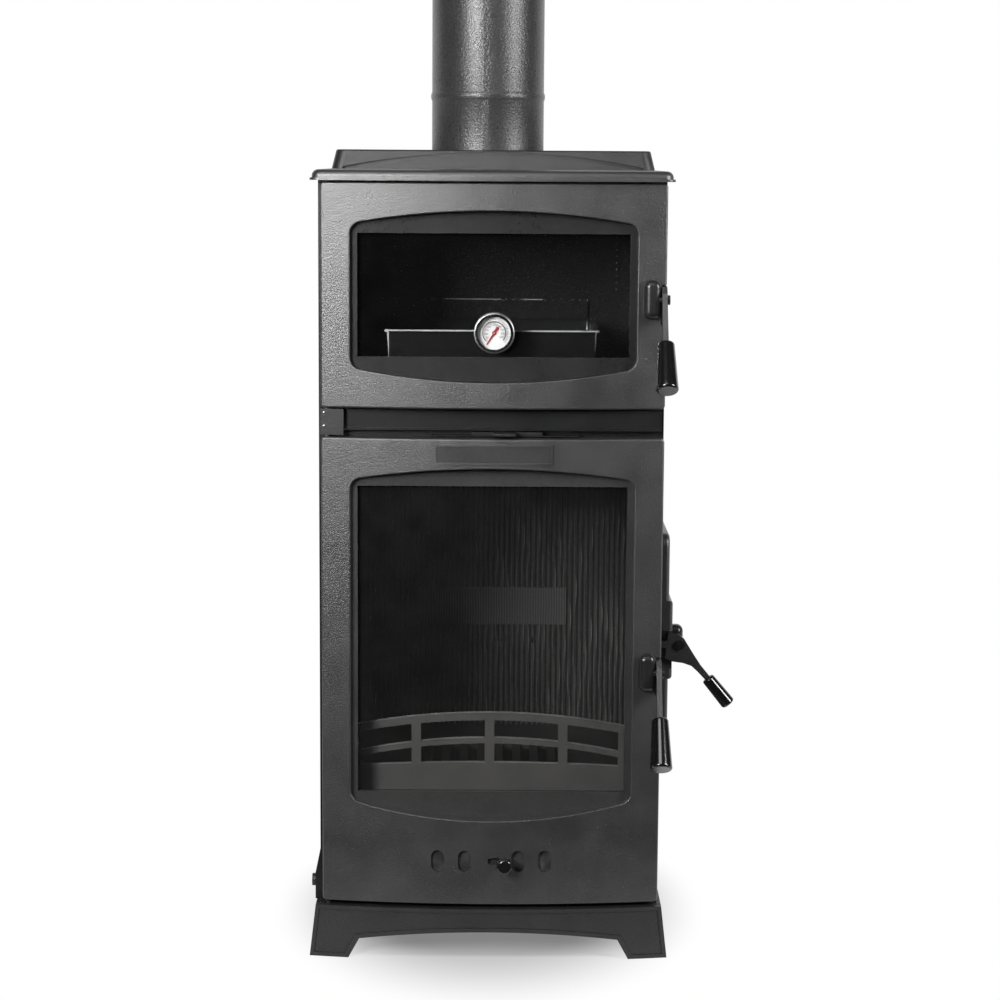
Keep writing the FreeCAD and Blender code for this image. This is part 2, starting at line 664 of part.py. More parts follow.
def air_wash_slide():
    z0 = WASH_LOW + WASH_LIP + CLEAR
    y_back = FRONT - WASH_BACK - CLEAR
    bar = box(WASH_BAR_LEFT, WASH_BAR_RIGHT, FRONT - WASH_DEPTH, y_back, z0, z0 + WASH_BAR_THICK)
    front = FRONT - WASH_DEPTH
    tab = box(WASH_TAB_LEFT, WASH_TAB_RIGHT, front - WASH_TAB_REACH, front, z0, z0 + WASH_BAR_THICK)
    ends = [e for e in tab.Edges if e.BoundBox.YMax < front]
    return bar.fuse(tab.makeFillet(WASH_TAB_ROUND, ends)).removeSplitter()


def hinge_blocks():
    """Middle block between the doors, the lug at the foot and the two brackets of the side door."""
    crown = DOOR_CROWN + BLOCK_SETBACK
    middle = bowed_block(BLOCK_LEFT, BLOCK_RIGHT, crown, FRONT, BLOCK_LOW, BAND_HIGH)
    y0 = FRONT + LUG_FRONT_SETBACK
    outer = HALF + LUG_PROUD
    points = ((HALF, BASE_HEIGHT), (HALF, LUG_HIGH), (outer, LUG_SHOULDER), (outer, BASE_HEIGHT))
    lug = polygon([V(-x, y0, z) for x, z in points]).extrude(V(0, LUG_LENGTH, 0))
    brackets = []
    for z0 in (SIDE_DOOR_HIGH + SIDE_BRACKET_PLAY, SIDE_DOOR_LOW - SIDE_BRACKET_PLAY - SIDE_BRACKET_HEIGHT):
        x1 = SIDE_PIN_X + SIDE_PIN_SETOFF
        y1 = SIDE_DOOR_BACK
        brackets.append(box(HALF, x1, y1 - SIDE_BRACKET_LENGTH, y1, z0, z0 + SIDE_BRACKET_HEIGHT))
    return [middle, lug] + brackets


SIDE_INNER = HALF + DOOR_GAP
SIDE_PIN_X = SIDE_INNER + SIDE_PIN_SETOFF
SIDE_PIN_Y = SIDE_DOOR_BACK - PIN_INSET


def hinge_pins():
    """Upright pins on which the three doors hang, each standing on what holds it."""
    front = (
        (TOP_UNDER, OVEN_DOOR_HIGH - PIN_DEPTH),
        (BAND_HIGH, OVEN_DOOR_LOW + PIN_DEPTH),
        (BLOCK_LOW, FIRE_DOOR_HIGH - PIN_DEPTH),
        (BASE_HEIGHT, FIRE_DOOR_LOW + PIN_DEPTH),
    )
    side = (
        (SIDE_DOOR_HIGH + SIDE_BRACKET_PLAY, SIDE_DOOR_HIGH - PIN_DEPTH),
        (SIDE_DOOR_LOW - SIDE_BRACKET_PLAY, SIDE_DOOR_LOW + PIN_DEPTH),
    )
    pins = []
    for x, y, spans in ((PIN_X, PIN_Y, front), (SIDE_PIN_X, SIDE_PIN_Y, side)):
        pins += [rod(PIN_RADIUS, V(x, y, seat), V(x, y, tip)) for seat, tip in spans]
    return pins


def pin_bores(x, y, low, high):
    depth = PIN_DEPTH + RUN_CLEAR
    radius = PIN_RADIUS + RUN_CLEAR
    upper = rod(radius, V(x, y, high - depth), V(x, y, high + depth))
    lower = rod(radius, V(x, y, low - depth), V(x, y, low + depth))
    return [upper, lower]


# Top plate and flue
def on_flue(z):
    return V(FLUE_OFFSET, FLUE_CENTRE_Y, z)


def top_outline(grow, z0, z1):
    crown = DOOR_CROWN - TOP_FRONT_PROUD - grow
    half = TOP_HALF - LIP_PROUD + grow
    plate = bowed_block(-half, half, crown, BACK + TOP_BACK_PROUD + grow, z0, z1)
    upright = [e for e in plate.Edges if e.BoundBox.ZLength > (z1 - z0) / 2]
    return plate.makeFillet(TOP_CORNER, upright)


def top_plate():
    slab = top_outline(0, TOP_UNDER, TOP_HEIGHT)
    rim = [e for e in slab.Edges if e.BoundBox.ZMin > TOP_HEIGHT - CLEAR]
    slab = slab.makeFillet(TOP_EDGE_ROUND, rim)
    plate = slab.fuse(top_outline(LIP_PROUD, TOP_UNDER, TOP_UNDER + LIP_THICK)).removeSplitter()
    inner = FLUE_RADIUS - FLUE_WALL - CLEAR - COLLAR_WALL
    return plate.cut(rod(inner, on_flue(TOP_UNDER - OVERRUN), on_flue(TOP_HEIGHT + OVERRUN)))


def plinth_body(inset, z_low, z_high):
    wires = []
    for z in (z_low, z_high):
        lean = inset + PLINTH_DRAFT * (z - TOP_HEIGHT) / PLINTH_HEIGHT
        half = PLINTH_HALF - lean
        wires.append(rounded_rectangle(-half, half, PLINTH_FRONT + lean, PLINTH_BACK - lean, z,
                                       PLINTH_CORNER))
    return Part.makeLoft(wires, True, True)


def arched_face(drop):
    """Block that stands for all under an arch across the plinth's front, to the groove's depth."""
    base = TOP_HEIGHT + PANEL_BASE - drop
    y = PLINTH_FRONT - OVERRUN
    ends = [V(side * PANEL_HALF, y, base) for side in (-1, 1)]
    crown = V(0, y, TOP_HEIGHT + PANEL_CROWN - drop)
    foot = V(0, 0, -PLINTH_HEIGHT)
    wire = Part.Wire([
        arc(ends[0], crown, ends[1]), line(ends[1], ends[1] + foot),
        line(ends[1] + foot, ends[0] + foot), line(ends[0] + foot, ends[0]),
    ])
    face_y = PLINTH_FRONT + PLINTH_DRAFT / 2 + PANEL_SUNK
    return Part.Face(wire).extrude(V(0, face_y - y, 0))


def flue_plinth():
    top = PLINTH_TOP
    shell = plinth_body(0, TOP_HEIGHT, top)
    rim = [e for e in shell.Edges if e.BoundBox.ZMin > top - CLEAR]
    shell = shell.makeFillet(PLINTH_EDGE_ROUND, rim)
    shell = shell.cut(plinth_body(PLINTH_WALL, TOP_HEIGHT - PLINTH_WALL, top - PLINTH_WALL))
    bore = FLUE_RADIUS - FLUE_WALL
    shell = shell.cut(rod(bore, on_flue(TOP_HEIGHT), on_flue(top + OVERRUN)))
    return shell.cut(arched_face(0).cut(arched_face(PANEL_GROOVE)))


def flue_collar():
    deck_under = PLINTH_TOP - PLINTH_WALL
    outer = FLUE_RADIUS - FLUE_WALL - CLEAR
    low = deck_under - COLLAR_FLANGE_THICK
    sleeve = rod(outer, on_flue(low), on_flue(low + COLLAR_HEIGHT))
    flange = rod(outer + COLLAR_FLANGE, on_flue(low), on_flue(deck_under))
    bore = rod(outer - COLLAR_WALL, on_flue(low - OVERRUN), on_flue(deck_under + OVERRUN))
    return sleeve.fuse(flange).cut(bore).removeSplitter()


def flue_pipe():
    low = PLINTH_TOP
    inner = FLUE_RADIUS - FLUE_WALL

    def at(radius, z):
        return on_flue(z) + V(radius, 0, 0)

    bead_low = FLUE_BEAD_Z - FLUE_BEAD_HALF
    bead_high = FLUE_BEAD_Z + FLUE_BEAD_HALF
    edges = [
        line(at(inner, low), at(FLUE_RADIUS, low)),
        line(at(FLUE_RADIUS, low), at(FLUE_RADIUS, bead_low)),
        arc(at(FLUE_RADIUS, bead_low), at(FLUE_RADIUS + FLUE_BEAD_PROUD, FLUE_BEAD_Z),
            at(FLUE_RADIUS, bead_high)),
        line(at(FLUE_RADIUS, bead_high), at(FLUE_RADIUS, FLUE_TOP)),
        line(at(FLUE_RADIUS, FLUE_TOP), at(inner, FLUE_TOP)),
        line(at(inner, FLUE_TOP), at(inner, low)),
    ]
    return Part.Face(Part.Wire(edges)).revolve(on_flue(low), V(0, 0, 1), 360)


# Doors
FIELD_SIDE_Y = bow_y(FIELD_HALF, DOOR_CROWN)
FIELD_FLOOR_Y = FIELD_SIDE_Y + FIELD_DEPTH
GLASS_FRONT = FIELD_FLOOR_Y + FIELD_FLOOR + GLASS_SEAL
GLASS_BACK = GLASS_FRONT + GLASS_THICK


def door_block(low, high):
    """Bowed slab with round corners and a softened front edge."""
    slab = bowed_block(DOOR_LEFT, DOOR_RIGHT, DOOR_CROWN, DOOR_BACK, low, high)
    corners = [e for e in slab.Edges if e.BoundBox.YLength > DOOR_EDGE / 2]
    across = [e for e in corners if e.BoundBox.XLength < DOOR_EDGE]
    slab = slab.makeFillet(DOOR_CORNER, across)
    rim = [e for e in slab.Edges if e.BoundBox.YMax < DOOR_BACK - DOOR_EDGE / 2]
    return slab.makeFillet(DOOR_EDGE_ROUND, rim)


def window_field(field, grow, y):
    low_spring, low_crown, high_spring, high_crown = field
    return field_wire(FIELD_HALF + grow, low_spring - grow, low_crown - grow, high_spring + grow,
                      high_crown + grow, FIELD_CORNER + grow, y)


def field_edges(shell, field):
    """The edges where a field's walls meet the bowed front."""
    low, high = field[1] - CLEAR, field[3] + CLEAR
    reach = FIELD_HALF + CLEAR
    found = []
    for edge in shell.Edges:
        b = edge.BoundBox
        within = b.XMin > DOOR_MID - reach and b.XMax < DOOR_MID + reach and b.ZMin > low and b.ZMax < high
        if within and b.YMax < FIELD_FLOOR_Y - CLEAR:
            found.append(edge)
    return found


def door_shell(low, high, field, window):
    """Hollow cast door with a sunken arched field, a glass opening and pin bores."""
    block = door_block(low, high)
    hollow = bowed_block(DOOR_LEFT + DOOR_BORDER, DOOR_RIGHT - DOOR_BORDER, DOOR_CROWN + DOOR_SHELL,
                         DOOR_BACK + OVERRUN, low + DOOR_BORDER, high - DOOR_BORDER)
    shell = block.cut(hollow)
    far = DOOR_CROWN - OVERRUN
    floor_back = FIELD_FLOOR_Y + FIELD_FLOOR
    pad = Part.Face(window_field(field, FIELD_RIM, far)).extrude(V(0, floor_back - far, 0))
    shell = shell.fuse(pad.common(block))
    recess = Part.Face(window_field(field, 0, far)).extrude(V(0, FIELD_FLOOR_Y - far, 0))
    hole = box(DOOR_MID - WINDOW_HALF, DOOR_MID + WINDOW_HALF, far, DOOR_BACK + OVERRUN, *window)
    shell = shell.cut([recess, hole] + pin_bores(PIN_X, PIN_Y, low, high)).removeSplitter()
    return shell.makeFillet(FIELD_EDGE_ROUND, field_edges(shell, field))


def lever_notch(z):
    return box(LEVER_X - LEVER_PLAY, DOOR_RIGHT + OVERRUN, DOOR_CROWN, DOOR_BACK + OVERRUN,
               z - NOTCH_LOW, z + NOTCH_HIGH)


OVEN_FIELD = (OVEN_FIELD_LOW_SPRING, OVEN_FIELD_LOW_CROWN, OVEN_FIELD_HIGH_SPRING, OVEN_FIELD_HIGH_CROWN)
FIRE_FIELD = (FIRE_FIELD_LOW_SPRING, FIRE_FIELD_LOW_CROWN, FIRE_FIELD_HIGH_SPRING, FIRE_FIELD_HIGH_CROWN)


def oven_door_frame():
    shell = door_shell(OVEN_DOOR_LOW, OVEN_DOOR_HIGH, OVEN_FIELD, (OVEN_WINDOW_LOW, OVEN_WINDOW_HIGH))
    return shell.cut(lever_notch(OVEN_HANDLE_Z))


def stadium(x, z, width, height, y0, y1):
    """Upright slot with round ends, or a level one where it is wider than high."""
    radius = min(width, height) / 2
    dx = width / 2 - radius
    dz = height / 2 - radius
    ends = []
    for s in (-1, 1):
        ends.append(rod(radius, V(x + s * dx, y0, z + s * dz), V(x + s * dx, y1, z + s * dz)))
    wide = dx if dx > 0 else radius
    tall = dz if dz > 0 else radius
    middle = box(x - wide, x + wide, y0, y1, z - tall, z + tall)
    return ends[0].fuse([ends[1], middle])


def air_slot_centres(shift):
    return [AIR_CENTRE_X + shift + AIR_PITCH * n for n in (-2, -1, 1, 2)]


AIR_SEAT = DOOR_CROWN + AIR_SEAT_DEPTH
AIR_RAIL = AIR_SEAT + AIR_PLATE_THICK + CLEAR + CLEAR
AIR_PLATE_HALF = 2 * AIR_PITCH + AIR_SLOT_WIDTH / 2 + AIR_TRAVEL + AIR_PLATE_END
AIR_LEFT = AIR_CENTRE_X - AIR_PLATE_HALF - AIR_TRAVEL - CLEAR
AIR_RIGHT = AIR_CENTRE_X + AIR_PLATE_HALF + CLEAR


def air_guides():
    """Rails above and below the air slots, with lips that hold the slide."""
    plate_half = AIR_PLATE_HEIGHT / 2 + CLEAR
    back = AIR_RAIL + AIR_GUIDE_WALL
    rails = []
    for s in (-1, 1):
        z_in, z_out = sorted((AIR_Z + s * plate_half, AIR_Z + s * (plate_half + AIR_GUIDE_WALL)))
        rails.append(box(AIR_LEFT, AIR_RIGHT, AIR_SEAT, back, z_in, z_out))
        lips = sorted((AIR_Z + s * (plate_half - AIR_GUIDE_LIP), AIR_Z + s * (plate_half + AIR_GUIDE_WALL)))
        rails.append(box(AIR_LEFT, AIR_RIGHT, AIR_RAIL, back, lips[0], lips[1]))
    return rails


def air_seat():
    """Flat pocket in the back of the door in which the slide runs."""
    plate_half = AIR_PLATE_HEIGHT / 2 + CLEAR
    return box(AIR_LEFT, AIR_RIGHT, AIR_SEAT, AIR_RAIL, AIR_Z - plate_half, AIR_Z + plate_half)


def firebox_door_frame():
    shell = door_shell(FIRE_DOOR_LOW, FIRE_DOOR_HIGH, FIRE_FIELD, (FIRE_WINDOW_LOW, FIRE_WINDOW_HIGH))
    plaque = bowed_plate(PLAQUE_LEFT, PLAQUE_RIGHT, DOOR_CROWN - PLAQUE_PROUD, DOOR_SHELL,
                         PLAQUE_LOW, PLAQUE_HIGH)
    sunk = bowed_plate(PLAQUE_LEFT + PLAQUE_BORDER, PLAQUE_RIGHT - PLAQUE_BORDER,
                       DOOR_CROWN - PLAQUE_PROUD - PLAQUE_SUNK, PLAQUE_SUNK + PLAQUE_SUNK,
                       PLAQUE_LOW + PLAQUE_BORDER, PLAQUE_HIGH - PLAQUE_BORDER)
    shell = shell.fuse([plaque.cut(sunk)] + air_guides()).cut(air_seat())
    y0 = DOOR_CROWN - OVERRUN
    y1 = AIR_SEAT + CLEAR
    slots = [stadium(x, AIR_Z, AIR_SLOT_WIDTH, AIR_SLOT_HEIGHT, y0, y1) for x in air_slot_centres(0)]
    stud = 2 * (AIR_STUD_RADIUS + AIR_STUD_PLAY)
    slots.append(stadium(AIR_CENTRE_X + AIR_TRAVEL / 2, AIR_Z, stud + AIR_TRAVEL, stud, y0, y1))
    return shell.cut(slots + [lever_notch(FIRE_HANDLE_Z)]).removeSplitter()


AIR_STUD_X = AIR_CENTRE_X + AIR_TRAVEL


def primary_air_slide():
    """Slotted plate, drawn shut: its slots lie between the door's, and it opens to the left."""
    y0 = AIR_SEAT + CLEAR
    half = AIR_PLATE_HEIGHT / 2
    plate = box(AIR_CENTRE_X - AIR_PLATE_HALF, AIR_CENTRE_X + AIR_PLATE_HALF, y0, y0 + AIR_PLATE_THICK,
                AIR_Z - half, AIR_Z + half)
    slots = [stadium(x, AIR_Z, AIR_SLOT_WIDTH, AIR_SLOT_HEIGHT, y0 - OVERRUN, y0 + OVERRUN)
             for x in air_slot_centres(AIR_TRAVEL)]
    stud = rod(AIR_STUD_RADIUS, V(AIR_STUD_X, y0, AIR_Z), V(AIR_STUD_X, DOOR_CROWN - AIR_STUD_REACH, AIR_Z))
    return plate.cut(slots).fuse(stud).removeSplitter()


def primary_air_knob():
    """Fluted knob pressed on the end of the slide's stud."""
    back = DOOR_CROWN - AIR_STUD_REACH
    front = back - KNOB_LENGTH

    def at(y):
        return V(AIR_STUD_X, y, AIR_Z)

    head = rod(KNOB_RADIUS, at(back - KNOB_NECK), at(front))
    ends = [e for e in head.Edges if e.BoundBox.YLength < CLEAR]
    head = head.makeFillet(KNOB_ROUND, ends)
    cuts = []
    for n in range(KNOB_FLUTES):
        turn = 2 * math.pi * n / KNOB_FLUTES
        offset = V(KNOB_RADIUS * math.cos(turn), 0, KNOB_RADIUS * math.sin(turn))
        cuts.append(rod(KNOB_FLUTE_RADIUS, at(back) + offset, at(front - KNOB_NECK) + offset))
    return head.cut(cuts).fuse(rod(KNOB_NECK_RADIUS, at(back), at(back - KNOB_NECK))).removeSplitter()


def door_glass(window):
    reach = WINDOW_HALF + GLASS_LAP
    return box(DOOR_MID - reach, DOOR_MID + reach, GLASS_FRONT, GLASS_BACK,
               window[0] - GLASS_LAP, window[1] + GLASS_LAP)


def ring(x0, x1, y0, y1, z0, z1, width):
    """Flat upright ring of one width inside the given box."""
    hole = box(x0 + width, x1 - width, y0 - OVERRUN, y1 + OVERRUN, z0 + width, z1 - width)
    return box(x0, x1, y0, y1, z0, z1).cut(hole)


def glass_seal(window):
    reach = WINDOW_HALF + GLASS_LAP
    return ring(DOOR_MID - reach, DOOR_MID + reach, GLASS_FRONT - GLASS_SEAL, GLASS_FRONT,
                window[0] - GLASS_LAP, window[1] + GLASS_LAP, GLASS_SEAL_WIDTH)


def glass_clips(window, spacing):
    """Clips screwed behind the field, each with a finger over the glass."""
    low = window[0] - GLASS_LAP - CLEAR
    high = window[1] + GLASS_LAP + CLEAR
    reach = WINDOW_HALF + GLASS_LAP + CLEAR
    foot_y = FIELD_FLOOR_Y + FIELD_FLOOR
    half = CLIP_WIDTH / 2
    clips = []
    for x in (DOOR_MID - spacing, DOOR_MID, DOOR_MID + spacing):
        for z, out in ((high, 1), (low, -1)):
            z0, z1 = sorted((z, z + out * CLIP_FOOT))
            f0, f1 = sorted((z, z - out * CLIP_FINGER))
            foot = box(x - half, x + half, foot_y, GLASS_BACK + CLIP_THICK, z0, z1)
            finger = box(x - half, x + half, GLASS_BACK, GLASS_BACK + CLIP_THICK, f0, f1)
            clips.append(foot.fuse(finger).removeSplitter())
    middle = (window[0] + window[1]) / 2
    for out in (-1, 1):
        x = DOOR_MID + out * reach
        x0, x1 = sorted((x, x + out * CLIP_FOOT))
        f0, f1 = sorted((x, x - out * CLIP_FINGER))
        foot = box(x0, x1, foot_y, GLASS_BACK + CLIP_THICK, middle - half, middle + half)
        finger = box(f0, f1, GLASS_BACK, GLASS_BACK + CLIP_THICK, middle - half, middle + half)
        clips.append(foot.fuse(finger).removeSplitter())
    return clips


def door_rope(low, high):
    margin = ROPE_OFFSET + ROPE_WIDTH
    reach = FRAME_OPEN_HALF + margin
    return ring(-reach, reach, DOOR_BACK, FRONT - CLEAR, low - margin, high + margin, ROPE_WIDTH)


# Dial thermometer
DIAL_FRONT = GLASS_FRONT - DIAL_CASE_DEPTH
DIAL_CAVITY = DIAL_FRONT + DIAL_BEZEL
DIAL_FACE = DIAL_CAVITY + DIAL_CAVITY_DEPTH - DIAL_PLATE


def on_dial(y):
    return V(DIAL_X, y, DIAL_Z)


def oven_glass():
    window = (OVEN_WINDOW_LOW, OVEN_WINDOW_HIGH)
    hole = rod(DIAL_STEM_RADIUS + CLEAR, on_dial(GLASS_FRONT - OVERRUN), on_dial(GLASS_BACK + OVERRUN))
    return door_glass(window).cut(hole)


def thermometer_case():
    case = rod(DIAL_CASE_RADIUS, on_dial(DIAL_FRONT), on_dial(GLASS_FRONT))
    edges = [e for e in case.Edges if e.BoundBox.YMax < DIAL_FRONT + CLEAR]
    case = case.makeFillet(DIAL_BEZEL - CLEAR, edges)
    case = case.cut(rod(DIAL_WINDOW_RADIUS, on_dial(DIAL_FRONT - OVERRUN), on_dial(DIAL_CAVITY + CLEAR)))
    case = case.cut(rod(DIAL_CAVITY_RADIUS, on_dial(DIAL_CAVITY), on_dial(DIAL_CAVITY + DIAL_CAVITY_DEPTH)))
    stem = rod(DIAL_STEM_RADIUS, on_dial(GLASS_FRONT), on_dial(GLASS_BACK + DIAL_NUT_THICK))
    nut = rod(DIAL_NUT_RADIUS, on_dial(GLASS_BACK), on_dial(GLASS_BACK + DIAL_NUT_THICK))
    probe = rod(DIAL_PROBE_RADIUS, on_dial(GLASS_BACK), on_dial(GLASS_BACK + DIAL_PROBE_LENGTH))
    return case.fuse([stem, nut, probe]).removeSplitter()


def thermometer_dial():
    plate = rod(DIAL_CAVITY_RADIUS - CLEAR, on_dial(DIAL_FACE), on_dial(DIAL_FACE + DIAL_PLATE))
    spindle = rod(DIAL_SPINDLE_RADIUS, on_dial(DIAL_FACE), on_dial(DIAL_FACE - DIAL_SPINDLE_LENGTH))
    return plate.fuse(spindle).removeSplitter()


def thermometer_lens():
    return rod(DIAL_CAVITY_RADIUS - CLEAR, on_dial(DIAL_CAVITY), on_dial(DIAL_CAVITY + DIAL_LENS))


def thermometer_needle():
    y1 = DIAL_FACE - NEEDLE_LIFT
    y0 = y1 - NEEDLE_THICK
    outline = ((-NEEDLE_TIP_HALF, -NEEDLE_LENGTH), (NEEDLE_TIP_HALF, -NEEDLE_LENGTH),
               (NEEDLE_TAIL_HALF, NEEDLE_TAIL), (-NEEDLE_TAIL_HALF, NEEDLE_TAIL))
    blade = polygon([V(DIAL_X + u, y0, DIAL_Z + v) for u, v in outline]).extrude(V(0, y1 - y0, 0))
    hub = rod(NEEDLE_HUB_RADIUS, on_dial(y0), on_dial(y1))
    bore = rod(DIAL_SPINDLE_RADIUS + RUN_CLEAR, on_dial(y0 - OVERRUN), on_dial(y1 + OVERRUN))
    needle = blade.fuse(hub).cut(bore).removeSplitter()
    needle.rotate(on_dial(y0), V(0, 1, 0), NEEDLE_ANGLE)
    return needle


# Lever handles, drawn about their pivot with X outwards, Z up and Y along the pivot's pin
def lever_plate(reach, drop):
    points = [V(u * reach, 0, v * drop) for u, v in LEVER_TOP_SHARES + LEVER_LOW_SHARES]
    plate = polygon(points).extrude(V(0, LEVER_THICK, 0))
    tongue = box(-LEVER_TONGUE, 0, 0, LEVER_THICK, -LEVER_TONGUE_HALF, LEVER_TONGUE_HALF)
    end = V(reach, LEVER_THICK / 2, -drop)
    aim = V(reach, 0, -drop).normalize()
    tang = rod(LEVER_TANG_RADIUS, end - aim * LEVER_TANG_RADIUS, end + aim * LEVER_TANG)
    bore = rod(LEVER_BORE_RADIUS, V(0, -OVERRUN, 0), V(0, OVERRUN, 0))
    return plate.fuse([tongue, tang]).cut(bore).removeSplitter()


def lever_grip(reach, drop, length, root, end):
    """Tapered round grip driven on the lever's tang, along the line of the arm."""
    aim = V(reach, 0, -drop).normalize()
    grip = Part.makeCone(root, end, length, V(reach, LEVER_THICK / 2, -drop), aim)
    rims = [e for e in grip.Edges if len(e.Vertexes) == 1]
    return grip.makeFillet(GRIP_ROUND, rims).cut(lever_plate(reach, drop))


def lever_boss():
    """Domed escutcheon, the fixed pivot pin through its crown and the pin's head beyond the lever."""
    inner = -LEVER_PLAY - BOSS_WIDTH
    back = -LEVER_STANDOFF - BOSS_PLATE
    dome = box(back, BOSS_CROWN, inner, -LEVER_PLAY, -BOSS_HALF_HEIGHT, BOSS_HALF_HEIGHT)
    corners = [e for e in dome.Edges if e.BoundBox.XLength > BOSS_PLATE]
    dome = dome.makeFillet(BOSS_ROUND, corners)
    rim = [e for e in dome.Edges if e.BoundBox.XMin > back + BOSS_PLATE]
    dome = dome.makeFillet(BOSS_ROUND - BOSS_RIM_FLAT, rim)
    pin_start = V(0, -LEVER_PLAY - BOSS_WIDTH / 2, 0)
    pin = rod(LEVER_BORE_RADIUS - RUN_CLEAR, pin_start, V(0, LEVER_THICK + LEVER_PLAY, 0))
    head_start = LEVER_THICK + LEVER_PLAY
    head = rod(LEVER_HEAD_RADIUS, V(0, head_start, 0), V(0, head_start + LEVER_HEAD, 0))
    return dome.fuse([pin, head]).removeSplitter()


def keeper():
    """Catch block on the frame, just above the closed lever's tongue."""
    y0 = (LEVER_THICK - KEEPER_WIDTH) / 2
    wall = -KEEPER_BASE
    return box(wall, wall + KEEPER_REACH, y0, y0 + KEEPER_WIDTH, KEEPER_LOW, KEEPER_HIGH)


LEVER_FRONT_Y = bow_y(LEVER_X, DOOR_CROWN) - LEVER_STANDOFF
KEEPER_BASE = FRONT - LEVER_FRONT_Y


def on_front(shape, z):
    """Turns a handle piece to face the front and sets its pivot at the doors' right edge."""
    placed = shape.copy()
    placed.rotate(V(0, 0, 0), V(0, 0, 1), -90)
    placed.translate(V(LEVER_X, LEVER_FRONT_Y, z))
    return placed


SIDE_FACE = SIDE_INNER + SIDE_DOOR_THICK + SIDE_PAD_PROUD
SIDE_PIVOT_X = SIDE_FACE + LEVER_STANDOFF


def on_side(shape):
    """Mirrors a handle piece so that its boss lies behind the lever, at the side door's front edge."""
    placed = shape.mirror(V(0, 0, 0), V(0, 1, 0))
    placed.translate(V(SIDE_PIVOT_X, SIDE_DOOR_FRONT + LEVER_THICK, SIDE_HANDLE_Z))
    return placed


def front_boss(z, low, high):
    door = bowed_block(DOOR_LEFT, DOOR_RIGHT, DOOR_CROWN, DOOR_BACK, low, high)
    return on_front(lever_boss(), z).cut(door)


# Side loading door
def side_door_panel():
    x0 = SIDE_INNER
    x1 = x0 + SIDE_DOOR_THICK
    panel = box(x0, x1, SIDE_DOOR_FRONT, SIDE_DOOR_BACK, SIDE_DOOR_LOW, SIDE_DOOR_HIGH)
    corners = [e for e in panel.Edges if e.BoundBox.XLength > SIDE_DOOR_THICK / 2]
    panel = panel.makeFillet(SIDE_DOOR_CORNER, corners)
    rim = [e for e in panel.Edges if e.BoundBox.XMin > x1 - CLEAR]
    panel = panel.makeFillet(SIDE_DOOR_ROUND, rim)
    pad = box(x0 + SIDE_DOOR_ROUND, SIDE_FACE, SIDE_DOOR_FRONT, SIDE_DOOR_BACK - SIDE_DOOR_CORNER,
              SIDE_PAD_LOW, SIDE_PAD_HIGH)
    edges = [e for e in pad.Edges if e.BoundBox.XMin > SIDE_FACE - CLEAR]
    pad = pad.makeFillet(SIDE_PAD_PROUD - CLEAR, edges)
    notch_back = SIDE_DOOR_FRONT + LEVER_THICK + LEVER_PLAY
    notch = box(x0 - OVERRUN, SIDE_FACE + OVERRUN, SIDE_DOOR_FRONT - OVERRUN, notch_back,
                SIDE_HANDLE_Z - NOTCH_LOW, SIDE_HANDLE_Z + NOTCH_HIGH)
    bores = pin_bores(SIDE_PIN_X, SIDE_PIN_Y, SIDE_DOOR_LOW, SIDE_DOOR_HIGH)
    return panel.fuse(pad).cut([notch] + bores).removeSplitter()


def side_door_rope():
    y0 = SIDE_OPEN_FRONT - ROPE_OFFSET - ROPE_WIDTH
    y1 = SIDE_OPEN_BACK + ROPE_OFFSET + ROPE_WIDTH
    z0 = SIDE_OPEN_LOW - ROPE_OFFSET - ROPE_WIDTH
    z1 = SIDE_OPEN_HIGH + ROPE_OFFSET + ROPE_WIDTH
    outer = box(HALF + CLEAR, SIDE_INNER, y0, y1, z0, z1)
    hole = box(HALF - OVERRUN, SIDE_INNER + OVERRUN, y0 + ROPE_WIDTH, y1 - ROPE_WIDTH,
               z0 + ROPE_WIDTH, z1 - ROPE_WIDTH)
    return outer.cut(hole)


def latch_keepers():
    fronts = [on_front(keeper(), z) for z in (OVEN_HANDLE_Z, FIRE_HANDLE_Z)]
    side = keeper()
    side.translate(V(KEEPER_BASE - (SIDE_PIVOT_X - HALF), 0, 0))
    return fronts + [on_side(side)]


# Fasteners
def body_bolts():
    bolts = []
    y = FRONT + LUG_FRONT_SETBACK + LUG_LENGTH / 2
    x = -HALF - LUG_PROUD
    bolts.append(rod(BOLT_HEAD_RADIUS, V(x, y, LUG_BOLT_Z), V(x - BOLT_HEAD, y, LUG_BOLT_Z)))
    low = BASE_HEIGHT + BACK_BOLT_INSET
    high = TOP_UNDER - BACK_BOLT_INSET
    for n in range(BACK_BOLT_ROWS):
        z = low + (high - low) * n / (BACK_BOLT_ROWS - 1)
        for side in (-1, 1):
            x = side * (HALF - BACK_BOLT_INSET)
            bolts.append(rod(BOLT_HEAD_RADIUS, V(x, BACK, z), V(x, BACK + BOLT_HEAD, z)))
    return bolts


# Oven box and tray
OVEN_FRONT = FRONT + FRAME_THICK
OVEN_BACK = OVEN_FRONT + OVEN_DEPTH
OVEN_OUTER = FRAME_OPEN_HALF + OVEN_PLATE


def oven_level_plate(z):
    return box(-OVEN_OUTER, OVEN_OUTER, OVEN_FRONT, OVEN_BACK + OVEN_PLATE, z, z + OVEN_PLATE)


def oven_side_walls():
    walls = []
    for side in (-1, 1):
        x0, x1 = sorted((side * FRAME_OPEN_HALF, side * OVEN_OUTER))
        walls.append(box(x0, x1, OVEN_FRONT, OVEN_BACK + OVEN_PLATE, OVEN_OPEN_LOW, OVEN_OPEN_HIGH))
    return walls


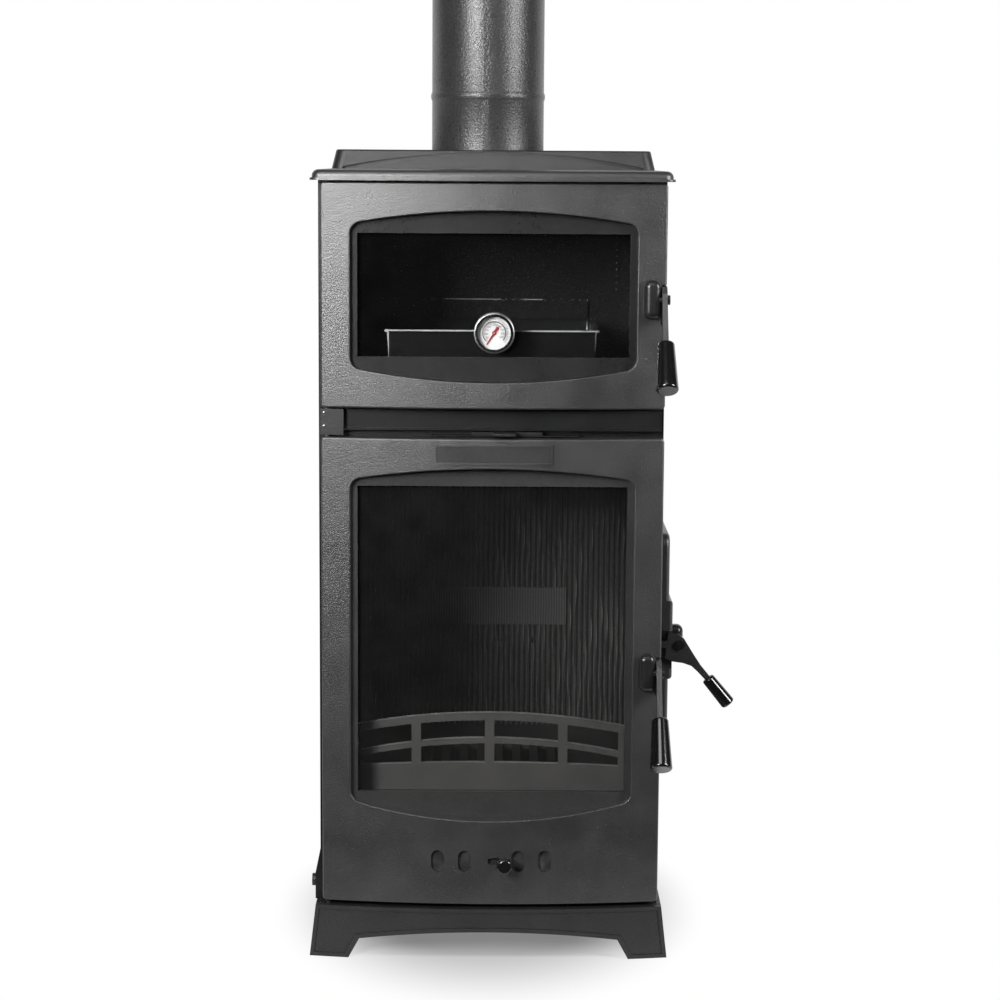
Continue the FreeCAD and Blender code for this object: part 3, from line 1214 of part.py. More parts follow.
def oven_back_wall():
    """Rear sheet with the heat shield that stands against its lower half."""
    sheet = box(-FRAME_OPEN_HALF, FRAME_OPEN_HALF, OVEN_BACK, OVEN_BACK + OVEN_PLATE,
                OVEN_OPEN_LOW, OVEN_OPEN_HIGH)
    shield = box(-SHIELD_HALF, SHIELD_HALF, OVEN_BACK - SHIELD_THICK, OVEN_BACK,
                 OVEN_OPEN_LOW, OVEN_OPEN_LOW + SHIELD_HEIGHT)
    return sheet.fuse(shield).removeSplitter()


def open_bin(half, y0, y1, z0, z1, wall):
    """Open-topped box of sheet with one wall thickness."""
    outer = box(-half, half, y0, y1, z0, z1)
    return outer.cut(box(wall - half, half - wall, y0 + wall, y1 - wall, z0 + wall, z1 + wall))


def baking_tray():
    y0 = FRONT + TRAY_SETBACK
    y1 = OVEN_BACK - TRAY_BACK_ROOM
    z1 = OVEN_OPEN_LOW + TRAY_HEIGHT
    tray = open_bin(TRAY_HALF, y0, y1, OVEN_OPEN_LOW, z1, TRAY_WALL)
    rim_half = TRAY_HALF + TRAY_RIM
    rim = box(-rim_half, rim_half, y0 - TRAY_RIM, y1 + TRAY_RIM, z1 - TRAY_WALL, z1)
    rim = rim.cut(box(-TRAY_HALF, TRAY_HALF, y0, y1, z1 - OVERRUN, z1 + OVERRUN))
    return tray.fuse(rim).removeSplitter()


# Firebox
LINER_OUTER = HALF - WALL
LINER_FRONT = FRONT + FRAME_THICK
BACK_LINER_FRONT = BACK - WALL - BACK_LINER_THICK


def side_liner(side):
    x0, x1 = sorted((side * (LINER_OUTER - LINER_THICK), side * LINER_OUTER))
    return box(x0, x1, LINER_FRONT, BACK_LINER_FRONT - RIB_HEIGHT, HEARTH_TOP, BAFFLE_LOW)


def back_liner():
    """Rear lining with upright ribs, a plain raised panel and a row of air holes."""
    half = LINER_OUTER - CLEAR
    count = int(2 * half / RIB_PITCH)
    points = [V(half, BACK - WALL, HEARTH_TOP), V(-half, BACK - WALL, HEARTH_TOP)]
    start = -RIB_PITCH * count / 2
    points.append(V(-half, BACK_LINER_FRONT, HEARTH_TOP))
    for n in range(count):
        left = start + RIB_PITCH * n
        points.append(V(left, BACK_LINER_FRONT, HEARTH_TOP))
        points.append(V(left + RIB_PITCH / 2, BACK_LINER_FRONT - RIB_HEIGHT, HEARTH_TOP))
    points.append(V(-start, BACK_LINER_FRONT, HEARTH_TOP))
    points.append(V(half, BACK_LINER_FRONT, HEARTH_TOP))
    liner = polygon(points).extrude(V(0, 0, BAFFLE_LOW - HEARTH_TOP))
    panel_front = BACK_LINER_FRONT - RIB_HEIGHT - BACK_PANEL_PROUD
    panel = box(-BACK_PANEL_HALF, BACK_PANEL_HALF, panel_front, BACK - WALL,
                BACK_PANEL_LOW, BACK_PANEL_HIGH)
    holes = []
    for n in range(BACK_HOLE_COUNT):
        x = BACK_HOLE_PITCH * (n - (BACK_HOLE_COUNT - 1) / 2)
        start = V(x, panel_front - OVERRUN, BACK_HOLE_Z)
        holes.append(rod(BACK_HOLE_RADIUS, start, V(x, BACK - WALL + CLEAR, BACK_HOLE_Z)))
    return liner.fuse(panel).cut(holes).removeSplitter()


def hearth_plate():
    low = HEARTH_TOP - HEARTH_THICK
    half = LINER_OUTER - CLEAR
    plate = box(-half, half, LINER_FRONT + CLEAR, BACK - WALL - CLEAR, low, HEARTH_TOP)
    seat = box(-GRATE_HALF - CLEAR, GRATE_HALF + CLEAR, GRATE_FRONT - CLEAR, GRATE_BACK + CLEAR,
               HEARTH_TOP - GRATE_THICK, HEARTH_TOP + OVERRUN)
    inner = GRATE_HALF - GRATE_LEDGE
    hole = box(-inner, inner, GRATE_FRONT + GRATE_LEDGE, GRATE_BACK - GRATE_LEDGE, low - OVERRUN, HEARTH_TOP)
    return plate.cut([seat, hole])


def fire_grate():
    low = HEARTH_TOP - GRATE_THICK
    grate = box(-GRATE_HALF, GRATE_HALF, GRATE_FRONT, GRATE_BACK, low, HEARTH_TOP)
    pitch = 2 * (GRATE_HALF - GRATE_BORDER) / GRATE_SLOTS
    slots = []
    half = (pitch - GRATE_BAR) / 2
    for n in range(GRATE_SLOTS):
        x = pitch * (n - (GRATE_SLOTS - 1) / 2)
        slots.append(box(x - half, x + half, GRATE_FRONT + GRATE_BORDER, GRATE_BACK - GRATE_BORDER,
                         low - OVERRUN, HEARTH_TOP + OVERRUN))
    return grate.cut(slots)


def guard_strip(low_crown, high_crown, sag):
    """Upright strip of the log guard between two parallel arches."""
    y = FRONT + GUARD_SETBACK
    ends = ((-1, low_crown), (-1, high_crown), (1, high_crown), (1, low_crown))
    corner = [V(side * GUARD_HALF, y, crown - sag) for side, crown in ends]
    wire = Part.Wire([
        line(corner[0], corner[1]),
        arc(corner[1], V(0, y, high_crown), corner[2]),
        line(corner[2], corner[3]),
        arc(corner[3], V(0, y, low_crown), corner[0]),
    ])
    return Part.Face(wire).extrude(V(0, GUARD_THICK, 0))


def log_guard():
    y = FRONT + GUARD_SETBACK
    foot = GUARD_PLATE - GUARD_PLATE_SAG - GUARD_PLATE_SAG
    plate = box(-GUARD_HALF, GUARD_HALF, y, y + GUARD_THICK, HEARTH_TOP, foot)
    pieces = [
        guard_strip(foot, GUARD_PLATE, GUARD_PLATE_SAG),
        guard_strip(GUARD_MID - GUARD_MID_RAIL, GUARD_MID, GUARD_MID_SAG),
        guard_strip(GUARD_TOP - GUARD_RAIL, GUARD_TOP, GUARD_SAG),
    ]
    end_post = GUARD_HALF - GUARD_POST / 2
    posts = [-end_post, -GUARD_POST_PITCH, 0, GUARD_POST_PITCH, end_post]
    tall = guard_strip(GUARD_PLATE - GUARD_RAIL, GUARD_TOP, GUARD_SAG)
    for x in posts:
        column = box(x - GUARD_POST / 2, x + GUARD_POST / 2, y, y + GUARD_THICK, HEARTH_TOP, GUARD_TOP)
        pieces.append(column.common(tall))
    return plate.fuse(pieces).removeSplitter()


def ash_pit_walls():
    walls = []
    for side in (-1, 1):
        x0, x1 = sorted((side * ASH_WALL_X, side * (ASH_WALL_X + ASH_WALL_THICK)))
        walls.append(box(x0, x1, LINER_FRONT + CLEAR, BACK - WALL - CLEAR, BASE_HEIGHT,
                         HEARTH_TOP - HEARTH_THICK))
    return walls


def ash_drawer():
    y0 = FRONT + ASH_SETBACK
    return open_bin(ASH_HALF, y0, y0 + ASH_LENGTH, BASE_HEIGHT, BASE_HEIGHT + ASH_HEIGHT, ASH_WALL)


def baffle_plate():
    half = LINER_OUTER - CLEAR
    return box(-half, half, LINER_FRONT + BAFFLE_FRONT_GAP, BACK - WALL - CLEAR, BAFFLE_LOW,
               BAFFLE_LOW + BAFFLE_THICK)


os.makedirs("parts", exist_ok=True)

save("base_front_skirt", base_front_skirt())
save("base_side_skirts", base_side_skirt(-1), base_side_skirt(1))
save("base_rear_skirt", base_rear_skirt())
save("bottom_plate", bottom_plate())
save("front_frame", front_frame())
save("left_side_wall", side_wall(-1))
save("right_side_wall", side_wall(1).cut(side_opening()))
save("back_wall", back_wall())
save("middle_band", middle_band())
save("air_wash_slide", air_wash_slide())
save("hinge_blocks", *hinge_blocks())
save("hinge_pins", *hinge_pins())
save("latch_keepers", *latch_keepers())
save("body_bolts", *body_bolts())
save("top_plate", top_plate())
save("flue_plinth", flue_plinth())
save("flue_collar", flue_collar())
save("flue_pipe", flue_pipe())

save("oven_floor", oven_level_plate(OVEN_OPEN_LOW - OVEN_PLATE))
save("oven_ceiling", oven_level_plate(OVEN_OPEN_HIGH))
save("oven_side_walls", *oven_side_walls())
save("oven_back_wall", oven_back_wall())
save("baking_tray", baking_tray())

save("firebox_left_liner", side_liner(-1))
save("firebox_right_liner", side_liner(1).cut(side_opening()))
save("firebox_back_liner", back_liner())
save("baffle_plate", baffle_plate())
save("hearth_plate", hearth_plate())
save("fire_grate", fire_grate())
save("log_guard", log_guard())
save("ash_pit_walls", *ash_pit_walls())
save("ash_drawer", ash_drawer())

save("oven_door_frame", oven_door_frame())
save("oven_glass", oven_glass())
save("oven_glass_seal", glass_seal((OVEN_WINDOW_LOW, OVEN_WINDOW_HIGH)))
save("oven_glass_clips", *glass_clips((OVEN_WINDOW_LOW, OVEN_WINDOW_HIGH), OVEN_CLIP_SPACING))
save("oven_door_rope", door_rope(OVEN_OPEN_LOW, OVEN_OPEN_HIGH))
save("thermometer_case", thermometer_case())
save("thermometer_dial", thermometer_dial())
save("thermometer_lens", thermometer_lens())
save("thermometer_needle", thermometer_needle())

save("firebox_door_frame", firebox_door_frame())
save("firebox_glass", door_glass((FIRE_WINDOW_LOW, FIRE_WINDOW_HIGH)))
save("firebox_glass_seal", glass_seal((FIRE_WINDOW_LOW, FIRE_WINDOW_HIGH)))
save("firebox_glass_clips", *glass_clips((FIRE_WINDOW_LOW, FIRE_WINDOW_HIGH), FIRE_CLIP_SPACING))
save("firebox_door_rope", door_rope(FIRE_OPEN_LOW, FIRE_OPEN_HIGH))
save("primary_air_slide", primary_air_slide())
save("primary_air_knob", primary_air_knob())

save("side_door_panel", side_door_panel())
save("side_door_rope", side_door_rope())

FRONT_LEVER = lever_plate(FRONT_LEVER_REACH, FRONT_LEVER_DROP)
FRONT_GRIP = lever_grip(FRONT_LEVER_REACH, FRONT_LEVER_DROP, FRONT_GRIP_LENGTH, FRONT_GRIP_ROOT,
                        FRONT_GRIP_END)
save("oven_handle_boss", front_boss(OVEN_HANDLE_Z, OVEN_DOOR_LOW, OVEN_DOOR_HIGH))
save("oven_handle_lever", on_front(FRONT_LEVER, OVEN_HANDLE_Z))
save("oven_handle_grip", on_front(FRONT_GRIP, OVEN_HANDLE_Z))
save("firebox_handle_boss", front_boss(FIRE_HANDLE_Z, FIRE_DOOR_LOW, FIRE_DOOR_HIGH))
save("firebox_handle_lever", on_front(FRONT_LEVER, FIRE_HANDLE_Z))
save("firebox_handle_grip", on_front(FRONT_GRIP, FIRE_HANDLE_Z))
SIDE_GRIP = lever_grip(SIDE_LEVER_REACH, SIDE_LEVER_DROP, SIDE_GRIP_LENGTH, SIDE_GRIP_ROOT, SIDE_GRIP_END)
side_body = box(SIDE_INNER, SIDE_FACE, SIDE_DOOR_FRONT, SIDE_DOOR_BACK, SIDE_DOOR_LOW, SIDE_DOOR_HIGH)
save("side_handle_boss", on_side(lever_boss()).cut(side_body))
save("side_handle_lever", on_side(lever_plate(SIDE_LEVER_REACH, SIDE_LEVER_DROP)))
save("side_handle_grip", on_side(SIDE_GRIP))
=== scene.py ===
import json
import math

import bmesh
import bpy
from mathutils import Matrix, Vector

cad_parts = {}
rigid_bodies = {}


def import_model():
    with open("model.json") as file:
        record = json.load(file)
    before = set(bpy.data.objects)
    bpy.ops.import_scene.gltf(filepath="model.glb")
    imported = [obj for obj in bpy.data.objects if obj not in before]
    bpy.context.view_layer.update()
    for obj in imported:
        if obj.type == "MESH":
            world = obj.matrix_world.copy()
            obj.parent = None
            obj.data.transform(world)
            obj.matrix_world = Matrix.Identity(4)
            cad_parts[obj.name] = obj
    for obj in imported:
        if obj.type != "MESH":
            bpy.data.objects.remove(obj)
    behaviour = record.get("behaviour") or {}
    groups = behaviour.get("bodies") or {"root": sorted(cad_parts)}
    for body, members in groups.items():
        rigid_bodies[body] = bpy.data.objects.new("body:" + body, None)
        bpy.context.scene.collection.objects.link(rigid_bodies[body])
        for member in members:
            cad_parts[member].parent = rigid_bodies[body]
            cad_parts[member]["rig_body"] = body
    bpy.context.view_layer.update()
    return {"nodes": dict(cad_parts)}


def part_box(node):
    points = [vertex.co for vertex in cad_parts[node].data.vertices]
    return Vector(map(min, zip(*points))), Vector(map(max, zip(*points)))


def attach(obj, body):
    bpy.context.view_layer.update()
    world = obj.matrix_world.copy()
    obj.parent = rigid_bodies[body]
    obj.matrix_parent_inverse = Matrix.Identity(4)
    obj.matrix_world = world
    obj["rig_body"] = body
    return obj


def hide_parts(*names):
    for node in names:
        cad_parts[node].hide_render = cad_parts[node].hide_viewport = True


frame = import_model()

nodes = frame["nodes"]
scene = bpy.context.scene

# Base: four sand-cast skirts with flared feet and an arched front, bolted round the bottom plate.
# Grey iron straight from the mould, shot-blasted and sprayed with matt black heat paint, so the
# sand's grain and small pits still show through the coat.


class Signal:
    """A socket of a node tree that can be added up, scaled and fed on."""

    def __init__(self, tree, socket):
        self.tree = tree
        self.socket = socket

    def node(self, kind, settings=(), sockets=(), output=0):
        """A new node of that kind: settings first, then the values or links of its sockets."""
        made = self.tree.nodes.new(kind)
        for name, value in dict(settings).items():
            setattr(made, name, value)
        for name, value in dict(sockets).items():
            if isinstance(value, Signal):
                self.tree.links.new(value.socket, made.inputs[name])
            else:
                made.inputs[name].default_value = value
        return Signal(self.tree, made.outputs[output])

    def maths(self, operation, first, second):
        return self.node("ShaderNodeMath", {"operation": operation}, {0: first, 1: second})

    def __add__(self, other):
        return self.maths("ADD", self, other)

    def __sub__(self, other):
        return self.maths("SUBTRACT", self, other)

    def __rsub__(self, other):
        return self.maths("SUBTRACT", other, self)

    def __mul__(self, other):
        return self.maths("MULTIPLY", self, other)

    def step(self, low, high):
        """0 below low, 1 above high and a soft ramp between."""
        return self.node(
            "ShaderNodeMapRange",
            {"interpolation_type": "SMOOTHSTEP"},
            {"Value": self, "From Min": low, "From Max": high},
        )

    def between(self, dark, light):
        """The colour that lies this far from dark to light."""
        return self.node(
            "ShaderNodeMix", {"data_type": "RGBA"}, {0: self, 6: (*dark, 1.0), 7: (*light, 1.0)}, 2
        )


def new_finish(name, **plain):
    """A finish, its shader with these plain values, and the coordinates its patterns lie on."""
    finish = bpy.data.materials.new(name)
    finish.use_nodes = True
    tree = finish.node_tree
    shader = tree.nodes["Principled BSDF"]
    for socket, value in plain.items():
        shader.inputs[socket.replace("_", " ")].default_value = value
    spot = tree.nodes.new("ShaderNodeTexCoord")
    return finish, shader, Signal(tree, spot.outputs["Object"])


def feed(shader, **signals):
    for socket, signal in signals.items():
        signal.tree.links.new(signal.socket, shader.inputs[socket.replace("_", " ")])


def cloud(place, scale, detail=2.0, rough=0.5):
    return place.node(
        "ShaderNodeTexNoise",
        {},
        {"Vector": place, "Scale": scale, "Detail": detail, "Roughness": rough},
    )


def relief(height, depth):
    return height.node(
        "ShaderNodeBump", {}, {"Height": height, "Distance": depth, "Strength": 1.0}
    )


def grey(level, warm=0.0):
    return (level * (1.0 + warm), level, level * (1.0 - warm))


def sand_cast(name, dark, light, rough, depth, shine=0.9):
    """Painted or bare sand-cast iron: a fine grain, cloudy patches and a stray pit."""
    finish, shader, place = new_finish(name, Specular_IOR_Level=shine)
    patches = cloud(place, 24.0, 3.0)
    grain = cloud(place, 640.0, 2.0, 0.6)
    swell = cloud(place, 150.0, 1.0)
    cells = place.node("ShaderNodeTexVoronoi", {"feature": "F1"}, {"Vector": place, "Scale": 130.0})
    pits = (1.0 - cells.step(0.05, 0.13)) * cloud(place, 30.0, 1.0).step(0.46, 0.58)
    feed(
        shader,
        Base_Color=(patches * 0.5 + grain * 0.5 - pits).step(0.2, 0.8).between(dark, light),
        Roughness=patches * 0.14 + grain * 0.1 + pits * 0.25 + (rough - 0.12),
        Normal=relief(grain + swell * 0.25 - pits * 0.6, depth),
    )
    return finish


JOIN = 1e-5
LEVEL = math.cos(math.radians(0.2))
BOW_AXIS_Y = 1.1357
BOW_FACET = 0.06
BOWED = math.cos(math.radians(1.2))
CREASE = math.cos(math.radians(35.0))


def bow_normal(point, way):
    """Square to the bowed front at this point, outwards for way 1 and inwards for -1."""
    return Vector((point.x, point.y - BOW_AXIS_Y, 0.0)).normalized() * way


def flat_patches(work, flat_width):
    """Each face's patch of level neighbours: how wide it is, and what it is part of.

    A patch is bowed (1 outside, -1 inside), flat (0) or a strip of some rounding (None)."""
    patches = {}
    for face in work.faces:
        if face in patches:
            continue
        members = [face]
        patches[face] = None
        for here in members:
            for edge in here.edges:
                for other in edge.link_faces:
                    if other not in patches and other.normal.dot(face.normal) > LEVEL:
                        patches[other] = None
                        members.append(other)
        points = [vert.co for here in members for vert in here.verts]
        low = Vector(min(p[axis] for p in points) for axis in range(3))
        high = Vector(max(p[axis] for p in points) for axis in range(3))
        width = sum(here.calc_area() for here in members) / max((high - low).length, JOIN)
        kind = 0 if width > flat_width else None
        if high.x - low.x < BOW_FACET:
            slope = face.normal.dot(bow_normal((low + high) / 2.0, 1.0))
            if abs(slope) > BOWED:
                kind = math.copysign(1.0, slope)
        for here in members:
            patches[here] = (width, kind)
    return patches


def fan(face, vert):
    """The faces round vert that run on from face without a crease."""
    found = [face]
    for here in found:
        for edge in here.edges:
            if vert in edge.verts:
                for other in edge.link_faces:
                    if other not in found and other.normal.dot(here.normal) > CREASE:
                        found.append(other)
    return found


def corner_normals(work, flat_width):
    """Flats shaded flat, the bow by its own curve, and roundings from one to the other."""
    patches = flat_patches(work, flat_width)

    def settled(face, vert):
        kind = patches[face][1]
        return bow_normal(vert.co, kind) if kind else face.normal

    normals = []
    for face in work.faces:
        for loop in face.loops:
            if patches[face][1] is not None:
                normals.append(settled(face, loop.vert))
                continue
            around = fan(face, loop.vert)
            firm = [other for other in around if patches[other][1] is not None]
            if firm:
                normals.append(settled(max(firm, key=lambda f: patches[f][0]), loop.vert))
            else:
                total = Vector((0.0, 0.0, 0.0))
                for other in around:
                    corner = next(l for l in other.loops if l.vert == loop.vert)
                    total += other.normal * corner.calc_angle()
                normals.append(total.normalized())
    return normals


def keep_piece(piece, body):
    """The finished piece in its place on its body."""
    if piece.name not in scene.collection.objects:
        scene.collection.objects.link(piece)
    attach(piece, body)
    return piece


def joined(name):
    """A working copy of the node's shape with its facets joined."""
    work = bmesh.new()
    work.from_mesh(nodes[name].data)
    bmesh.ops.remove_doubles(work, verts=work.verts[:], dist=JOIN)
    bmesh.ops.dissolve_degenerate(work, dist=JOIN, edges=work.edges[:])
    return work


def dressed(name, finish, flat_width=0.0045, alter=None):
    """The node's own shape, its curves shaded round, in this finish."""
    work = joined(name)
    if alter:
        alter(work)
    work.normal_update()
    normals = corner_normals(work, flat_width)
    mesh = bpy.data.meshes.new(name + "_skin")
    work.to_mesh(mesh)
    work.free()
    for face in mesh.polygons:
        face.use_smooth = True
    mesh.normals_split_custom_set(normals)
    mesh.materials.append(finish)
    piece = bpy.data.objects.new(name + "_skin", mesh)
    scene.collection.objects.link(piece)
    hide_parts(name)
    return keep_piece(piece, nodes[name]["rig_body"])


# Painted shade: the base takes a darker, duller copy of the casing's heat paint, which stands in
# for the shade low down by the floor.
shaded_base_paint = sand_cast("shaded_base_paint", grey(0.009), grey(0.02), 0.46, 0.0003, 0.5)
for casting in ("base_front_skirt", "base_side_skirts", "base_rear_skirt", "bottom_plate"):
    dressed(casting, shaded_base_paint)

# Casing: front frame, two side walls and back wall, each one flat casting, cemented together at
# the corners and drawn tight by bolts. The middle band covers the joint between the storeys.
heat_paint = sand_cast("heat_paint", grey(0.014), grey(0.03), 0.37, 0.00042)
for casting in ("left_side_wall", "right_side_wall", "back_wall"):
    dressed(casting, heat_paint)


def rubbed_paint(name, dark, light, rough):
    """The same paint on a dressed, nearly smooth face: little grain, a quiet satin."""
    finish, shader, place = new_finish(name)
    patches = cloud(place, 20.0, 3.0)
    skin = cloud(place, 260.0, 2.0)
    feed(
        shader,
        Base_Color=(patches * 0.5 + skin * 0.5).step(0.25, 0.75).between(dark, light),
        Roughness=patches * 0.08 + skin * 0.08 + (rough - 0.08),
        Normal=relief(skin, 0.0001),
    )
    return finish


# Painted shade: frame, band and hinge blocks take a copy of the paint several times darker than the
# casing's, which stands in for the shade under the oven door's overhang.
shaded_band_paint = rubbed_paint("shaded_band_paint", grey(0.004), grey(0.007), 0.34)
for casting in ("front_frame", "middle_band", "hinge_blocks"):
    dressed(casting, shaded_band_paint)


def oiled_steel(name, level, rough):
    """Blackened steel: satin, with fine drawing marks and rubbed patches."""
    finish, shader, place = new_finish(name, Metallic=0.55)
    rubbed_and_lit = cloud(place, 60.0, 3.0)
    marks = cloud(place, 900.0, 2.0)
    feed(
        shader,
        Base_Color=rubbed_and_lit.step(0.3, 0.75).between(grey(level * 0.7), grey(level * 1.4)),
        Roughness=rubbed_and_lit * 0.2 + marks * 0.1 + (rough - 0.15),
        Normal=relief(marks, 0.00012),
    )
    return finish


black_steel = oiled_steel("black_steel_oiled", 0.05, 0.42)
for fitting in ("hinge_pins", "latch_keepers", "body_bolts"):
    dressed(fitting, black_steel)

# Firebox lining: loose iron plates on the walls, a ribbed back plate with its air holes, the hearth
# with its slotted grate and the barred log guard. Bare castings, greyed by the first firings.
fired_iron = sand_cast("fired_iron", grey(0.022, 0.02), grey(0.042, 0.03), 0.6, 0.0005, 0.5)
for plate in ("firebox_left_liner", "firebox_right_liner", "baffle_plate", "hearth_plate"):
    dressed(plate, fired_iron)
dressed("fire_grate", fired_iron)

GUARD_EASE = 0.001
GUARD_CORNER = math.radians(50.0)
GUARD_FLAT = math.radians(0.5)
LIT_TOP_SLOPE = 0.5
WORN_AND_LIT = 1


def eased_edges(work):
    """Takes the sharpness off a casting's edges, as tumbling does, and paints the eased edges pale:
    part wear, part painted highlight.
    """
    verts, edges = work.verts[:], work.edges[:]
    bmesh.ops.dissolve_limit(work, angle_limit=GUARD_FLAT, verts=verts, edges=edges)
    whole = [edge for edge in work.edges if len(edge.link_faces) == 2]
    bmesh.ops.bevel(
        work,
        geom=[edge for edge in whole if edge.calc_face_angle() > GUARD_CORNER],
        offset=GUARD_EASE,
        segments=2,
        profile=0.5,
        affect="EDGES",
        clamp_overlap=True,
        material=WORN_AND_LIT,
    )
    bmesh.ops.triangulate(work, faces=work.faces[:])


# Painted light: the log guard takes a copy of the fired iron three to four times paler, which
# stands in for light the lamps do not bring into the firebox.
lit_guard_iron = sand_cast("lit_guard_iron", grey(0.1, 0.02), grey(0.15, 0.03), 0.5, 0.0005, 0.5)
worn_and_lit_iron = sand_cast("worn_and_lit_iron", grey(0.4, 0.02), grey(0.6, 0.02), 0.4, 0.0003, 0.5)
guard = dressed("log_guard", lit_guard_iron, alter=eased_edges)
guard.data.materials.append(worn_and_lit_iron)
# Painted highlight: every face of the guard that looks upward takes the pale iron, as if lit from
# above.
for face in guard.data.polygons:
    if face.normal.z > LIT_TOP_SLOPE:
        face.material_index = WORN_AND_LIT


def axes(place):
    """The x, y and z of a spot."""
    split = place.node("ShaderNodeSeparateXYZ", {}, {0: place})
    return [Signal(place.tree, output) for output in split.socket.node.outputs]


RIB_SCORES = 84.0
RIB_CREST_Y = 0.1892
RIB_GROOVE_Y = 0.192


def ribs_light_and_shade(name):
    """Bare ribbed iron, scored along the crests: painted light on the crests, painted shade in the
    grooves, and the blank panel a little darker.
    """
    finish, shader, place = new_finish(name)
    depth = axes(place)[1]
    grain = cloud(place, 420.0, 2.0)
    scores = place.node(
        "ShaderNodeTexWave",
        {"wave_type": "BANDS", "bands_direction": "X"},
        {"Vector": place, "Scale": RIB_SCORES, "Distortion": 1.5, "Detail Scale": 0.5},
        1,
    )
    # Painted light and shade: paler on the crests and darker in the grooves, chosen by depth.
    rubbed_and_lit = 1.0 - (depth + grain * 0.0008).step(RIB_CREST_Y, RIB_GROOVE_Y)
    on_panel = 1.0 - depth.step(RIB_CREST_Y - 0.0012, RIB_CREST_Y - 0.0008)
    pale = rubbed_and_lit * (scores * 0.65 + 0.35) * (1.0 - on_panel * 0.35)
    feed(
        shader,
        Base_Color=pale.between(grey(0.013, 0.02), grey(0.14, 0.02)),
        Roughness=grain * 0.2 + 0.5,
        Normal=relief(grain, 0.0004),
    )
    return finish


WAVE_STEP = 0.012
WANDER = 0.0015
WANDER_RATE = 41.0
WANDER_PHASE = 7.0
PHASE_RATE = 29.0
WAVER = 0.0009
WAVER_RATE = 97.0
WAVER_PHASE = 260.0
CREST_SLACK = 0.0005


def wavy_ribs(work):
    """Lets the straight ribs wander sideways like the grain of a plank."""
    low = min(vert.co.z for vert in work.verts)
    high = max(vert.co.z for vert in work.verts)
    for step in range(1, int((high - low) / WAVE_STEP)):
        bmesh.ops.bisect_plane(
            work,
            geom=work.verts[:] + work.edges[:] + work.faces[:],
            plane_co=(0.0, 0.0, low + WAVE_STEP * step),
            plane_no=(0.0, 0.0, 1.0),
            dist=JOIN,
        )
    for vert in work.verts:
        x, y, z = vert.co
        if abs(y - RIB_CREST_Y) < CREST_SLACK and low < z < high:
            wander = math.sin(WANDER_RATE * z + WANDER_PHASE * math.sin(PHASE_RATE * x))
            waver = math.sin(WAVER_RATE * z + WAVER_PHASE * x)
            vert.co.x += WANDER * wander + WAVER * waver


dressed("firebox_back_liner", ribs_light_and_shade("rib_iron"), alter=wavy_ribs)

# Ash pit: walls of folded sheet steel under the grate and a loose drawer folded from the same
# sheet, both in mill finish under a thin coat of black.


def folded_sheet(name, dark, light, rough):
    finish, shader, place = new_finish(name, Metallic=0.4)
    blooms = cloud(place, 22.0, 4.0, 0.6)
    scuffs = cloud(place, 380.0, 2.0)
    feed(
        shader,
        Base_Color=blooms.step(0.3, 0.7).between(dark, light),
        Roughness=blooms * 0.2 + (rough - 0.1),
        Normal=relief(scuffs, 0.0001),
    )
    return finish


ash_sheet = folded_sheet("ash_sheet", grey(0.05), grey(0.09), 0.5)
for sheet in ("ash_pit_walls", "ash_drawer"):
    dressed(sheet, ash_sheet)

# Oven: a box of sheet steel under black enamel, closed but for its front, with a deep roasting
# tray of the same enamel on its floor. The tray's rim is rolled outwards over a wire.


def enamel(name, level, rough, painted_highlight=None):
    """Vitreous enamel: black glass on steel, a faint orange peel, and a painted highlight in
    near-white where a mask is given.
    """
    finish, shader, place = new_finish(name, Coat_Weight=0.4, Coat_Roughness=0.16)
    peel = cloud(place, 240.0, 2.0)
    specks_and_highlight = peel.step(0.3, 0.7) * 0.004
    if painted_highlight:
        specks_and_highlight = specks_and_highlight.maths("MAXIMUM", specks_and_highlight, painted_highlight(place))
    feed(
        shader,
        Base_Color=specks_and_highlight.between(grey(level), grey(0.9)),
        Roughness=peel * 0.12 + rough,
        Normal=relief(peel, 0.00005),
    )
    return finish


oven_black = enamel("oven_black", 0.018, 0.2)
for sheet in ("oven_floor", "oven_ceiling", "oven_side_walls"):
    dressed(sheet, oven_black)

# Painted highlight and glints along the top edge of the heat shield on the oven's back wall.
SHIELD_TOP = 0.824
SHIELD_FACE = 0.0985
BRIGHTEST_FROM = (-0.095, -0.055)
BRIGHTEST_TO = (-0.015, 0.025)


def shield_edge_highlight(place):
    """A painted highlight along the heat shield's top edge, in stretches, with painted glints just
    below it, laid on as bared enamel.
    """
    along, depth, height = axes(place)
    rubbed_and_lit = cloud(place, 38.0, 3.0, 0.65).step(0.44, 0.6)
    brightest = along.step(*BRIGHTEST_FROM) * (1.0 - along.step(*BRIGHTEST_TO)) * 0.8
    in_front = 1.0 - depth.step(SHIELD_FACE, SHIELD_FACE + 0.001)
    at_edge = height.step(SHIELD_TOP - 0.0012, SHIELD_TOP - 0.0004) * in_front
    below = height.step(SHIELD_TOP - 0.004, SHIELD_TOP) * in_front
    glints = cloud(place, 300.0, 2.0).step(0.6, 0.66) * below
    return at_edge * (rubbed_and_lit + brightest).step(0.2, 1.0) + glints * 0.5


dressed("oven_back_wall", enamel("shield_black", 0.014, 0.2, shield_edge_highlight))

CORNER_STEPS = 6
LEAST_CORNER = 0.0005


